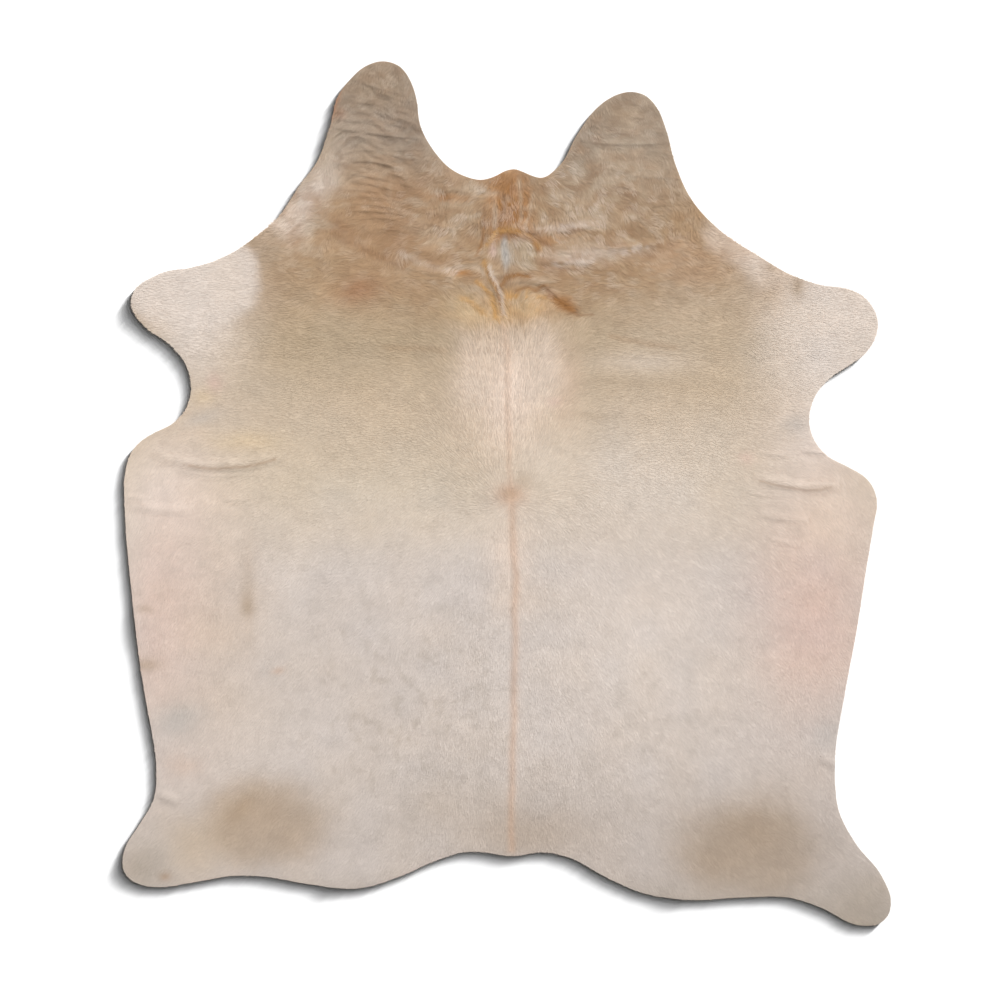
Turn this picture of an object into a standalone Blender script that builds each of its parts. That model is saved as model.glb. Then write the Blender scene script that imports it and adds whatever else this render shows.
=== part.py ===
"""A hair-on cowhide, laid flat as a rug: one whole skin, trimmed round its edge.

Metres, +Z up. X runs across the hide, +Y runs along its spine towards the neck, and the
flesh side lies on z = 0. The origin is under the middle of the hide's box.
"""

import math
from collections import namedtuple

import bmesh
import bpy
from mathutils import Vector
from mathutils.geometry import delaunay_2d_cdt, interpolate_bezier

# Driving sizes of the hide
LENGTH = 2.117
WIDTH = 1.881
LEATHER = 0.0025
BELLY_COAT = 0.0018
SPINE_COAT = 0.0012
SPINE_COAT_SPREAD = 0.30
HUMP_COAT = 0.0022
HUMP_COAT_SPREAD = 0.16
HUMP = (0.01, 0.56)

# How closely the surface is divided
EDGE_STEP = 0.018
COAT_ROLL = 0.010
FOLD_STEP = 0.021
FIELD_STEP = 0.058
NEAREST = 0.0035
WIDE_FOLD = 0.018
FEWEST_FOLD_STEPS = 3
RING_ROOM = 0.45
LATTICE_ROOM = 0.6
LEAST_LIFT = 1e-5
SAME_PLACE = 1e-6
SHARP_ANGLE = math.radians(50)

# The trimmed edge, clockwise from the middle of the neck: each row is a stretch of it, with
# the places (across, along) that its smooth curve passes through.
EDGE = (
    ("neck, right of its peak", (
        (0.018, 0.794), (0.050, 0.783), (0.084, 0.773), (0.128, 0.802), (0.172, 0.878),
        (0.224, 0.947))),
    ("right neck flap", (
        (0.260, 0.972), (0.307, 0.983), (0.341, 0.973), (0.366, 0.947), (0.390, 0.891),
        (0.410, 0.815), (0.451, 0.722), (0.527, 0.640))),
    ("right shoulder", (
        (0.620, 0.579), (0.699, 0.534), (0.777, 0.509))),
    ("right fore leg", (
        (0.826, 0.503), (0.863, 0.489), (0.890, 0.464), (0.908, 0.415), (0.895, 0.367),
        (0.876, 0.342), (0.838, 0.314))),
    ("right armpit", (
        (0.799, 0.289), (0.755, 0.239), (0.740, 0.180), (0.750, 0.136), (0.777, 0.099),
        (0.843, 0.061))),
    ("right flank", (
        (0.876, 0.041), (0.897, 0.014), (0.906, -0.018), (0.898, -0.076), (0.879, -0.190),
        (0.858, -0.325), (0.826, -0.498), (0.804, -0.641))),
    ("right hind leg", (
        (0.803, -0.687), (0.814, -0.780), (0.856, -0.859), (0.917, -0.935), (0.940, -1.001),
        (0.934, -1.030), (0.912, -1.052), (0.884, -1.058), (0.851, -1.054), (0.777, -1.017),
        (0.691, -0.989))),
    ("right of the tail", (
        (0.584, -0.988), (0.444, -0.994), (0.334, -0.978), (0.243, -0.939), (0.151, -0.890),
        (0.094, -0.878))),
    ("left of the tail", (
        (0.010, -0.887), (-0.056, -0.878), (-0.102, -0.877), (-0.172, -0.898),
        (-0.266, -0.939), (-0.360, -0.966), (-0.477, -0.957), (-0.598, -0.937))),
    ("left hind leg", (
        (-0.659, -0.935), (-0.769, -0.952), (-0.854, -0.963), (-0.884, -0.960),
        (-0.916, -0.948), (-0.935, -0.927), (-0.940, -0.899), (-0.935, -0.871),
        (-0.899, -0.810), (-0.864, -0.748))),
    ("left flank", (
        (-0.857, -0.680), (-0.860, -0.638), (-0.879, -0.530), (-0.899, -0.408),
        (-0.913, -0.288), (-0.935, -0.031), (-0.936, 0.018), (-0.930, 0.070),
        (-0.918, 0.102), (-0.894, 0.129))),
    ("left armpit", (
        (-0.858, 0.151), (-0.823, 0.168), (-0.793, 0.195), (-0.772, 0.263),
        (-0.781, 0.305), (-0.825, 0.366))),
    ("left fore leg", (
        (-0.862, 0.391), (-0.895, 0.418), (-0.919, 0.472), (-0.907, 0.503),
        (-0.874, 0.526), (-0.835, 0.543))),
    ("left shoulder", (
        (-0.777, 0.552), (-0.688, 0.581), (-0.611, 0.631), (-0.565, 0.670))),
    ("left neck flap", (
        (-0.507, 0.753), (-0.466, 0.810), (-0.433, 0.896), (-0.409, 0.981), (-0.384, 1.013),
        (-0.347, 1.045), (-0.301, 1.058), (-0.263, 1.046), (-0.242, 1.022),
        (-0.226, 0.985), (-0.208, 0.891))),
    ("neck, left of its peak", (
        (-0.173, 0.832), (-0.141, 0.798), (-0.100, 0.776), (-0.063, 0.768),
        (-0.026, 0.778), (-0.003, 0.790))),
)

# A fold runs from its start to its end (across, along), bowed to the left of that way by
# bow at its middle. It stands rise high and reaches spread to each side. Where it is hollow
# the flesh side lifts with it, and elsewhere it is a ridge in the thickness.
Fold = namedtuple("Fold", "name start end bow rise spread hollow")
FOLDS = (
    Fold("left flap, upper crease", (-0.386, 1.022), (-0.222, 0.974), -0.004, 0.0026, 0.010, False),
    Fold("left flap, root crease", (-0.440, 0.902), (-0.186, 0.871), -0.004, 0.0032, 0.010, False),
    Fold("left flap, low arch", (-0.418, 0.830), (-0.243, 0.814), 0.021, 0.0026, 0.009, False),
    Fold("left flap, lower arch", (-0.414, 0.809), (-0.248, 0.790), 0.015, 0.0024, 0.008, False),
    Fold("left flap, short crease", (-0.404, 0.877), (-0.322, 0.867), 0.004, 0.0018, 0.008, False),
    Fold("left flap, side swirl", (-0.300, 0.862), (-0.228, 0.852), -0.014, 0.0020, 0.009, False),
    Fold("left flap, tip lift", (-0.335, 1.090), (-0.310, 0.930), 0.000, 0.0016, 0.060, True),
    Fold("neck, left ridge", (-0.178, 0.745), (-0.088, 0.741), 0.004, 0.0032, 0.012, False),
    Fold("neck, peak tuft", (0.008, 0.800), (-0.004, 0.640), 0.004, 0.0026, 0.026, False),
    Fold("right flap, upper crease", (0.180, 0.868), (0.406, 0.865), -0.008, 0.0036, 0.011, False),
    Fold("right flap, short crease", (0.356, 0.842), (0.402, 0.833), 0.000, 0.0018, 0.008, False),
    Fold("right flap, root crease", (0.335, 0.779), (0.440, 0.775), 0.000, 0.0032, 0.010, False),
    Fold("right flap, arch", (0.262, 0.753), (0.330, 0.737), 0.007, 0.0024, 0.010, False),
    Fold("right flap, low arch", (0.316, 0.690), (0.404, 0.712), 0.006, 0.0028, 0.011, False),
    Fold("right flap, tip lift", (0.312, 1.010), (0.300, 0.880), 0.000, 0.0016, 0.060, True),
    Fold("neck, first roll", (0.045, 0.645), (0.235, 0.668), -0.006, 0.0040, 0.016, False),
    Fold("neck, second roll", (0.245, 0.603), (0.385, 0.613), 0.003, 0.0036, 0.015, False),
    Fold("neck, third roll", (0.070, 0.570), (0.220, 0.566), 0.003, 0.0036, 0.015, False),
    Fold("hump, roll below the cowlick", (-0.018, 0.508), (0.142, 0.468), 0.036, 0.0034, 0.015, False),
    Fold("hump, long lock", (-0.052, 0.590), (-0.012, 0.440), 0.004, 0.0034, 0.016, False),
    Fold("spine, fore part", (0.000, 0.430), (0.016, -0.010), 0.000, 0.0014, 0.012, False),
    Fold("spine, hind part", (0.016, -0.010), (0.011, -0.860), 0.008, 0.0014, 0.012, False),
    Fold("left armpit, main crease", (-0.862, 0.098), (-0.545, 0.094), -0.028, 0.0050, 0.022, True),
    Fold("left flank, upper crease", (-0.925, -0.028), (-0.765, -0.040), -0.004, 0.0032, 0.020, True),
    Fold("left flank, short crease", (-0.702, -0.014), (-0.626, -0.012), 0.000, 0.0016, 0.010, False),
    Fold("right armpit, main crease", (0.600, 0.044), (0.814, 0.026), -0.015, 0.0050, 0.021, True),
    Fold("right armpit, upper crease", (0.622, 0.100), (0.706, 0.096), 0.000, 0.0018, 0.011, False),
    Fold("right armpit, edge crease", (0.728, 0.107), (0.790, 0.102), 0.000, 0.0026, 0.011, False),
    Fold("right flank, upper crease", (0.616, -0.048), (0.738, -0.060), -0.003, 0.0026, 0.015, False),
    Fold("left thigh, edge crease", (-0.856, -0.731), (-0.800, -0.756), 0.000, 0.0036, 0.018, True),
    Fold("right thigh, edge crease", (0.765, -0.645), (0.835, -0.674), 0.000, 0.0036, 0.018, True),
    Fold("left fore leg, lift", (-0.975, 0.470), (-0.800, 0.440), 0.000, 0.0014, 0.050, True),
    Fold("right fore leg, lift", (0.975, 0.420), (0.790, 0.410), 0.000, 0.0014, 0.055, True),
    Fold("left flank, lift", (-0.970, -0.330), (-0.810, -0.310), 0.000, 0.0012, 0.075, True),
    Fold("right flank, lift", (0.930, -0.240), (0.780, -0.225), 0.000, 0.0012, 0.075, True),
    Fold("left hind leg, lift", (-0.990, -0.925), (-0.810, -0.870), 0.000, 0.0016, 0.055, True),
    Fold("right hind leg, lift", (0.985, -1.070), (0.820, -0.945), 0.000, 0.0016, 0.055, True),
    Fold("left of the tail, lift", (-0.430, -1.010), (-0.415, -0.870), 0.000, 0.0012, 0.060, True),
    Fold("right of the tail, lift", (0.420, -1.040), (0.400, -0.890), 0.000, 0.0012, 0.060, True),
)

# A set of growth wrinkles runs side by side from its first one to its last one.
Wrinkles = namedtuple("Wrinkles", "name first_start first_end last_start last_end count bow rise spread")
WRINKLES = (
    Wrinkles("left neck", (-0.404, 0.786), (-0.238, 0.748), (-0.376, 0.676), (-0.232, 0.664),
             7, 0.006, 0.0022, 0.008),
    Wrinkles("left flap", (-0.400, 0.962), (-0.300, 0.946), (-0.404, 0.920), (-0.296, 0.900),
             3, 0.003, 0.0016, 0.008),
    Wrinkles("right flap", (0.240, 0.925), (0.340, 0.918), (0.236, 0.884), (0.330, 0.882),
             2, 0.003, 0.0018, 0.009),
)
WRINKLE_SHIFT = 0.020
WRINKLE_TURN = 2.4

# The coat's finish
COAT_COLOUR = (0.631, 0.527, 0.423, 1.0)
COAT_ROUGHNESS = 0.8


def heading(before, here, after):
    """The way a smooth curve runs at a place; the nearer neighbour counts for more."""
    arriving = here - before
    leaving = after - here
    turned = arriving.normalized() * leaving.length + leaving.normalized() * arriving.length
    return turned.normalized()


def trimmed_edge():
    """The edge as points about EDGE_STEP apart, centred and fitted to WIDTH and LENGTH."""
    places = [Vector((x, y, 0.0)) for _, stretch in EDGE for x, y in stretch]
    count = len(places)
    ways = [
        heading(places[i - 1], here, places[(i + 1) % count])
        for i, here in enumerate(places)
    ]
    points = []
    for i, start in enumerate(places):
        end = places[(i + 1) % count]
        reach = (end - start).length / 3
        leaving = start + ways[i] * reach
        arriving = end - ways[(i + 1) % count] * reach
        steps = max(1, round((end - start).length / EDGE_STEP))
        points += interpolate_bezier(start, leaving, arriving, end, steps + 1)[:-1]
    low_x, high_x = min(p.x for p in points), max(p.x for p in points)
    low_y, high_y = min(p.y for p in points), max(p.y for p in points)
    across = WIDTH / (high_x - low_x)
    along = LENGTH / (high_y - low_y)
    return [
        Vector(((p.x - (low_x + high_x) / 2) * across, (p.y - (low_y + high_y) / 2) * along))
        for p in points
    ]


def all_folds():
    """The single folds, and each set's wrinkles with uneven ends."""
    folds = list(FOLDS)
    for wrinkles in WRINKLES:
        for i in range(wrinkles.count):
            share = i / (wrinkles.count - 1)
            start = Vector(wrinkles.first_start).lerp(Vector(wrinkles.last_start), share)
            end = Vector(wrinkles.first_end).lerp(Vector(wrinkles.last_end), share)
            start.x += WRINKLE_SHIFT * math.sin(WRINKLE_TURN * i)
            end.x += WRINKLE_SHIFT * math.cos(WRINKLE_TURN * i)
            folds.append(Fold(
                f"{wrinkles.name}, wrinkle {i + 1}", start, end,
                wrinkles.bow, wrinkles.rise, wrinkles.spread, False))
    return folds


def fold_place(fold, along, across):
    """The place at a share along a fold, and a distance across to the left of it."""
    start, end = Vector(fold.start), Vector(fold.end)
    chord = (end - start).normalized()
    left = Vector((-chord.y, chord.x))
    return start.lerp(end, along) + left * (across + fold.bow * 4 * along * (1 - along))


def fold_rise(fold, place):
    """How high a fold stands at a place."""
    start, end = Vector(fold.start), Vector(fold.end)
    chord = end - start
    offset = place - start
    along = offset.dot(chord) / chord.length_squared
    if not 0 < along < 1:
        return 0.0
    across = chord.cross(offset) / chord.length - fold.bow * 4 * along * (1 - along)
    if abs(across) >= fold.spread:
        return 0.0
    ridge = 0.5 + 0.5 * math.cos(math.pi * across / fold.spread)
    return fold.rise * ridge * math.sqrt(math.sin(math.pi * along))


def flesh_height(place, folds):
    """The height of the flesh side over the floor: nothing but under hollow folds."""
    lift = sum(fold_rise(fold, place) for fold in folds if fold.hollow)
    return lift if lift > LEAST_LIFT else 0.0


def thickness(place):
    """Leather with its lying coat, fuller along the spine and most on the hump."""
    spine = math.exp(-(place.x / SPINE_COAT_SPREAD) ** 2)
    hump = math.exp(-((place - Vector(HUMP)).length / HUMP_COAT_SPREAD) ** 2)
    return LEATHER + BELLY_COAT + SPINE_COAT * spine + HUMP_COAT * hump


def coat_height(place, folds, on_edge):
    """The height of the coat's top; at the cut edge only the leather is left."""
    ridges = sum(fold_rise(fold, place) for fold in folds if not fold.hollow)
    body = LEATHER if on_edge else thickness(place)
    return flesh_height(place, folds) + ridges + body


def is_inside(place, edge):
    """True where a line to the far right crosses the edge an odd number of times."""
    inside = False
    for i, b in enumerate(edge):
        a = edge[i - 1]
        if (a.y > place.y) != (b.y > place.y):
            if place.x < a.x + (place.y - a.y) * (b.x - a.x) / (b.y - a.y):
                inside = not inside
    return inside


class Field:
    """The points inside the edge, each kept clear of the ones before it."""

    def __init__(self, edge):
        self.edge = edge
        self.points = []
        self.lines = []
        self.grid = {}
        for point in edge:
            self.note(point)

    def cell(self, place):
        return math.floor(place.x / FIELD_STEP), math.floor(place.y / FIELD_STEP)

    def note(self, place):
        self.grid.setdefault(self.cell(place), []).append(place)

    def is_clear(self, place, gap):
        column, row = self.cell(place)
        near = (
            other
            for i in (column - 1, column, column + 1)
            for j in (row - 1, row, row + 1)
            for other in self.grid.get((i, j), ())
        )
        return all((other - place).length > gap for other in near)

    def add(self, place, gap):
        """Adds a point and returns its number, or None where it has no room."""
        if not self.is_clear(place, gap) or not is_inside(place, self.edge):
            return None
        self.note(place)
        self.points.append(place)
        return len(self.points) - 1

    def add_line(self, places, gap):
        """Adds points that stay joined, in their order, by edges of the mesh."""
        before = None
        for place in places:
            number = self.add(place, gap)
            if number is not None and before is not None:
                self.lines.append((before, number))
            before = number


def inset_ring(edge):
    """The edge moved in by COAT_ROLL, where the coat reaches its full height."""
    ring = []
    for i, here in enumerate(edge):
        way = (edge[(i + 1) % len(edge)] - edge[i - 1]).normalized()
        ring.append(here + Vector((way.y, -way.x)) * COAT_ROLL)
    return ring


def add_fold_lines(field, fold):
    """A fold's crest, its feet and, on a wide one, its slopes."""
    length = (Vector(fold.end) - Vector(fold.start)).length
    steps = max(FEWEST_FOLD_STEPS, round(length / FOLD_STEP))
    shares = (-1, -0.5, 0, 0.5, 1) if fold.spread > WIDE_FOLD else (-1, 0, 1)
    for share in shares:
        places = [fold_place(fold, i / steps, share * fold.spread) for i in range(steps + 1)]
        field.add_line(places, NEAREST)


def add_lattice(field):
    """Even rows of points, every other one shifted by half a step."""
    row_step = FIELD_STEP * math.sqrt(3) / 2
    rows = math.ceil(LENGTH / row_step)
    columns = math.ceil(WIDTH / FIELD_STEP)
    for row in range(rows + 1):
        for column in range(columns + 1):
            x = (column + row % 2 / 2) * FIELD_STEP - WIDTH / 2
            field.add(Vector((x, row * row_step - LENGTH / 2)), FIELD_STEP * LATTICE_ROOM)


def coat_field(edge, folds):
    """The points of the coat side: folds first, then the ring, then even rows."""
    field = Field(edge)
    for fold in folds:
        add_fold_lines(field, fold)
    for place in inset_ring(edge):
        field.add(place, COAT_ROLL * RING_ROOM)
    add_lattice(field)
    return field


def flesh_field(edge, folds):
    """The points of the flesh side: only its hollow folds, as the rest is flat."""
    field = Field(edge)
    for fold in folds:
        if fold.hollow:
            add_fold_lines(field, fold)
    return field


def add_side(bm, field, height, turned):
    """Adds one side of the hide and returns its vertices along the edge, in order."""
    count = len(field.edge)
    around = [(i, (i + 1) % count) for i in range(count)]
    inner = [(a + count, b + count) for a, b in field.lines]
    inside_only = 1
    places, _, faces, sources, _, _ = delaunay_2d_cdt(
        field.edge + field.points, around + inner, [], inside_only, SAME_PLACE)
    rim = {i: n for n, given in enumerate(sources) for i in given if i < count}
    on_rim = set(rim.values())
    verts = [
        bm.verts.new((place.x, place.y, height(place, n in on_rim)))
        for n, place in enumerate(places)
    ]
    for face in faces:
        corners = [verts[n] for n in face]
        bm.faces.new(reversed(corners) if turned else corners)
    return [verts[rim[i]] for i in range(count)]


def build_hide():
    """The hide's closed mesh: the coat side, the flesh side and the cut edge between."""
    edge = trimmed_edge()
    folds = all_folds()
    bm = bmesh.new()
    top = add_side(
        bm, coat_field(edge, folds),
        lambda place, on_edge: coat_height(place, folds, on_edge), turned=False)
    bottom = add_side(
        bm, flesh_field(edge, folds),
        lambda place, on_edge: flesh_height(place, folds), turned=True)
    for i, lower in enumerate(bottom):
        bm.faces.new((bottom[i - 1], lower, top[i], top[i - 1]))
    loose = [vert for vert in bm.verts if not vert.link_faces]
    bmesh.ops.delete(bm, geom=loose, context="VERTS")
    bmesh.ops.recalc_face_normals(bm, faces=bm.faces[:])
    mesh = bpy.data.meshes.new("hide")
    bm.to_mesh(mesh)
    bm.free()
    mesh.shade_smooth()
    mesh.set_sharp_from_angle(angle=SHARP_ANGLE)
    return mesh


def coat_material():
    """Pale tan hair."""
    material = bpy.data.materials.new("coat")
    material.use_nodes = True
    shader = material.node_tree.nodes["Principled BSDF"]
    shader.inputs["Base Color"].default_value = COAT_COLOUR
    shader.inputs["Roughness"].default_value = COAT_ROUGHNESS
    shader.inputs["Metallic"].default_value = 0.0
    return material


def main():
    for old in list(bpy.data.objects):
        bpy.data.objects.remove(old, do_unlink=True)
    cowhide = bpy.data.collections.new("cowhide rug")
    bpy.context.scene.collection.children.link(cowhide)
    hide = bpy.data.objects.new("hide", build_hide())
    hide.data.materials.append(coat_material())
    cowhide.objects.link(hide)


main()
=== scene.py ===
# %% [markdown]
# # A hair-on cowhide, laid flat as a rug
# The real thing is one whole skin: leather two or three millimetres thick, trimmed round legs
# and neck, with its short coat still on. From above one sees almost nothing but hair, so the
# lesson spends most of its cells on the way the hair lies and on its colours.
# The frame comes first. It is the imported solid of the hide, and every piece here is fitted
# to it, so the looks can never drift away from the part that is measured.

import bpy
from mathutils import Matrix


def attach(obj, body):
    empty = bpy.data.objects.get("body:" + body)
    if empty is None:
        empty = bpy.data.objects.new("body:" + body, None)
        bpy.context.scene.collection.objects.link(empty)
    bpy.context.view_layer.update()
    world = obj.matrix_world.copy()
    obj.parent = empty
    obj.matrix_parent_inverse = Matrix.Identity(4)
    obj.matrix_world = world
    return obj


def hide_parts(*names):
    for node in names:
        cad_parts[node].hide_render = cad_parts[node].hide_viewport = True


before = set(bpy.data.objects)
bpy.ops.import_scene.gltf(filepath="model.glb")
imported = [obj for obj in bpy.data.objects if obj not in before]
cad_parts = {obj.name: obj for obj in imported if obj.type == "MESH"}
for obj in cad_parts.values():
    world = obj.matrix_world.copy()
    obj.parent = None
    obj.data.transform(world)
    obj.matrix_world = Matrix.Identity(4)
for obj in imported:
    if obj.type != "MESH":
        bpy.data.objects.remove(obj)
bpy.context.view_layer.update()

import math
from collections import namedtuple

import bmesh
import bpy
import numpy as np
from mathutils import Vector
from mathutils.geometry import delaunay_2d_cdt
from mathutils.kdtree import KDTree

# %% [markdown]
# ## The camera
# The hide was seen from straight above, and its whole outline fits the frame with a white
# margin. A long lens high over the floor keeps the legs from leaning outwards. A shorter lens
# would do for a sketch, but it would show more of the near side of each fold.

# %% Set the camera over the hide
VIEW_WIDTH = 2.45
VIEW_CENTRE = (-0.0165, -0.0158)
LENS = 85.0
SENSOR = 36.0


def add_camera():
    """A camera that looks straight down, with the neck at the top of its view."""
    camera = bpy.data.cameras.new("camera over the hide")
    camera.lens = LENS
    camera.sensor_width = SENSOR
    height = VIEW_WIDTH * LENS / SENSOR
    camera.clip_end = 4 * height
    holder = bpy.data.objects.new("camera over the hide", camera)
    holder.location = (*VIEW_CENTRE, height)
    bpy.context.scene.collection.objects.link(holder)
    bpy.context.scene.camera = holder
    return height


print("camera height", round(add_camera(), 3))

# %% [markdown]
# ## The trimmed edge
# A rug's edge is cut with a knife, so it is one smooth line. The solid already has that line
# in steps of about two centimetres. It could be typed again point by point, but then two
# tables would have to agree. Here it is walked along the frame's own mesh, in the place where
# the cut wall meets the flesh side, and rounded between its points with a spline.

# %% Walk round the frame's cut edge
WALL_STEEPNESS = 0.3
SAME_SPOT = 1e-5
POINTS_BETWEEN = 3


def cut_edge_of(node):
    """The lower rim of the solid's cut wall, as a closed row of places seen from above."""
    bm = bmesh.new()
    bm.from_mesh(node.data)
    bmesh.ops.remove_doubles(bm, verts=bm.verts[:], dist=SAME_SPOT)
    bm.normal_update()
    after = {}
    for edge in bm.edges:
        slopes = sorted(face.normal.z for face in edge.link_faces)
        if len(slopes) == 2 and slopes[0] < -WALL_STEEPNESS < slopes[1] < WALL_STEEPNESS:
            one, other = edge.verts
            after.setdefault(one, []).append(other)
            after.setdefault(other, []).append(one)
    start = next(iter(after))
    row = [start]
    came_from = None
    while len(row) < len(after):
        ahead = [vert for vert in after[row[-1]] if vert is not came_from]
        came_from = row[-1]
        row.append(ahead[0])
    places = np.array([vert.co.xy[:] for vert in row])
    bm.free()
    return places


def rounded_row(places):
    """The same closed row with points between, on a Catmull-Rom spline."""
    before = np.roll(places, 1, axis=0)
    ahead = np.roll(places, -1, axis=0)
    beyond = np.roll(places, -2, axis=0)
    rows = []
    for step in range(POINTS_BETWEEN):
        t = step / POINTS_BETWEEN
        rows.append(0.5 * (
            2 * places
            + (ahead - before) * t
            + (2 * before - 5 * places + 4 * ahead - beyond) * t ** 2
            + (3 * places - before - 3 * ahead + beyond) * t ** 3))
    return np.stack(rows, axis=1).reshape(-1, 2)


def enclosed_area(row):
    """The area inside a closed row, positive where it runs anticlockwise."""
    ahead = np.roll(row, -1, axis=0)
    return 0.5 * float(np.sum(row[:, 0] * ahead[:, 1] - ahead[:, 0] * row[:, 1]))


edge_row = rounded_row(cut_edge_of(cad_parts["hide"]))
if enclosed_area(edge_row) < 0:
    edge_row = edge_row[::-1].copy()

# %% [markdown]
# ## Folds and growth wrinkles
# Skin wrinkles where the live animal bent: in rows across the neck, and in a few long creases
# behind the fore legs. A cloth simulation could crumple a sheet, but not in these places.
# So each crease is a soft ridge with a start, an end, a bow and a width, listed one by one. The
# first table repeats the solid's folds, and the second adds fine creases that only show as
# light and shade.

# %% The folds that the solid has
Fold = namedtuple("Fold", "name start end bow rise spread hollow", defaults=[False])
FOLDS = [Fold(*row) for row in [
    ("left flap, upper crease", (-0.386, 1.022), (-0.222, 0.974), -0.004, 0.0026, 0.010),
    ("left flap, root crease", (-0.440, 0.902), (-0.186, 0.871), -0.004, 0.0032, 0.010),
    ("left flap, low arch", (-0.418, 0.830), (-0.243, 0.814), 0.021, 0.0026, 0.009),
    ("left flap, lower arch", (-0.414, 0.809), (-0.248, 0.790), 0.015, 0.0024, 0.008),
    ("left flap, short crease", (-0.404, 0.877), (-0.322, 0.867), 0.004, 0.0018, 0.008),
    ("left flap, side swirl", (-0.300, 0.862), (-0.228, 0.852), -0.014, 0.0020, 0.009),
    ("left flap, tip lift", (-0.335, 1.090), (-0.310, 0.930), 0.000, 0.0016, 0.060, True),
    ("neck, left ridge", (-0.178, 0.745), (-0.088, 0.741), 0.004, 0.0032, 0.012),
    ("neck, peak tuft", (0.008, 0.800), (-0.004, 0.640), 0.004, 0.0026, 0.026),
    ("right flap, upper crease", (0.180, 0.868), (0.406, 0.865), -0.008, 0.0036, 0.011),
    ("right flap, short crease", (0.356, 0.842), (0.402, 0.833), 0.000, 0.0018, 0.008),
    ("right flap, root crease", (0.335, 0.779), (0.440, 0.775), 0.000, 0.0032, 0.010),
    ("right flap, arch", (0.262, 0.753), (0.330, 0.737), 0.007, 0.0024, 0.010),
    ("right flap, low arch", (0.316, 0.690), (0.404, 0.712), 0.006, 0.0028, 0.011),
    ("right flap, tip lift", (0.312, 1.010), (0.300, 0.880), 0.000, 0.0016, 0.060, True),
    ("neck, first roll", (0.045, 0.645), (0.235, 0.668), -0.006, 0.0040, 0.016),
    ("neck, second roll", (0.245, 0.603), (0.385, 0.613), 0.003, 0.0036, 0.015),
    ("neck, third roll", (0.070, 0.570), (0.220, 0.566), 0.003, 0.0036, 0.015),
    ("hump, roll below the cowlick", (-0.018, 0.508), (0.142, 0.468), 0.036, 0.0034, 0.015),
    ("hump, long lock", (-0.052, 0.590), (-0.012, 0.440), 0.004, 0.0034, 0.016),
    ("spine, fore part", (0.000, 0.430), (0.016, -0.010), 0.000, 0.0014, 0.012),
    ("spine, hind part", (0.016, -0.010), (0.011, -0.860), 0.008, 0.0014, 0.012),
    ("left armpit, main crease", (-0.862, 0.098), (-0.545, 0.094), -0.028, 0.0050, 0.022, True),
    ("left flank, upper crease", (-0.925, -0.028), (-0.765, -0.040), -0.004, 0.0032, 0.020, True),
    ("left flank, short crease", (-0.702, -0.014), (-0.626, -0.012), 0.000, 0.0016, 0.010),
    ("right armpit, main crease", (0.600, 0.044), (0.814, 0.026), -0.015, 0.0050, 0.021, True),
    ("right armpit, upper crease", (0.622, 0.100), (0.706, 0.096), 0.000, 0.0018, 0.011),
    ("right armpit, edge crease", (0.728, 0.107), (0.790, 0.102), 0.000, 0.0026, 0.011),
    ("right flank, upper crease", (0.616, -0.048), (0.738, -0.060), -0.003, 0.0026, 0.015),
    ("left thigh, edge crease", (-0.856, -0.731), (-0.800, -0.756), 0.000, 0.0036, 0.018, True),
    ("right thigh, edge crease", (0.765, -0.645), (0.835, -0.674), 0.000, 0.0036, 0.018, True),
    ("left fore leg, lift", (-0.975, 0.470), (-0.800, 0.440), 0.000, 0.0014, 0.050, True),
    ("right fore leg, lift", (0.975, 0.420), (0.790, 0.410), 0.000, 0.0014, 0.055, True),
    ("left flank, lift", (-0.970, -0.330), (-0.810, -0.310), 0.000, 0.0012, 0.075, True),
    ("right flank, lift", (0.930, -0.240), (0.780, -0.225), 0.000, 0.0012, 0.075, True),
    ("left hind leg, lift", (-0.990, -0.925), (-0.810, -0.870), 0.000, 0.0016, 0.055, True),
    ("right hind leg, lift", (0.985, -1.070), (0.820, -0.945), 0.000, 0.0016, 0.055, True),
    ("left of the tail, lift", (-0.430, -1.010), (-0.415, -0.870), 0.000, 0.0012, 0.060, True),
    ("right of the tail, lift", (0.420, -1.040), (0.400, -0.890), 0.000, 0.0012, 0.060, True),
]]
print("folds of the solid", len(FOLDS))

# %% Rows of growth wrinkles
Wrinkles = namedtuple("Wrinkles", "name first_start first_end last_start last_end count bow rise spread")
WRINKLES = [
    Wrinkles("left neck", (-0.404, 0.786), (-0.238, 0.748), (-0.376, 0.676), (-0.232, 0.664),
             7, 0.006, 0.0022, 0.008),
    Wrinkles("left flap", (-0.400, 0.962), (-0.300, 0.946), (-0.404, 0.920), (-0.296, 0.900),
             3, 0.003, 0.0016, 0.008),
    Wrinkles("right flap", (0.240, 0.925), (0.340, 0.918), (0.236, 0.884), (0.330, 0.882),
             2, 0.003, 0.0018, 0.009),
]
WRINKLE_SHIFT = 0.020
WRINKLE_TURN = 2.4
for rows in WRINKLES:
    for i in range(rows.count):
        share = i / (rows.count - 1)
        start = Vector(rows.first_start).lerp(Vector(rows.last_start), share)
        end = Vector(rows.first_end).lerp(Vector(rows.last_end), share)
        start.x += WRINKLE_SHIFT * math.sin(WRINKLE_TURN * i)
        end.x += WRINKLE_SHIFT * math.cos(WRINKLE_TURN * i)
        FOLDS.append(Fold(
            f"{rows.name}, wrinkle {i + 1}", start, end, rows.bow, rows.rise, rows.spread))
print("folds with the wrinkles", len(FOLDS))

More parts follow.
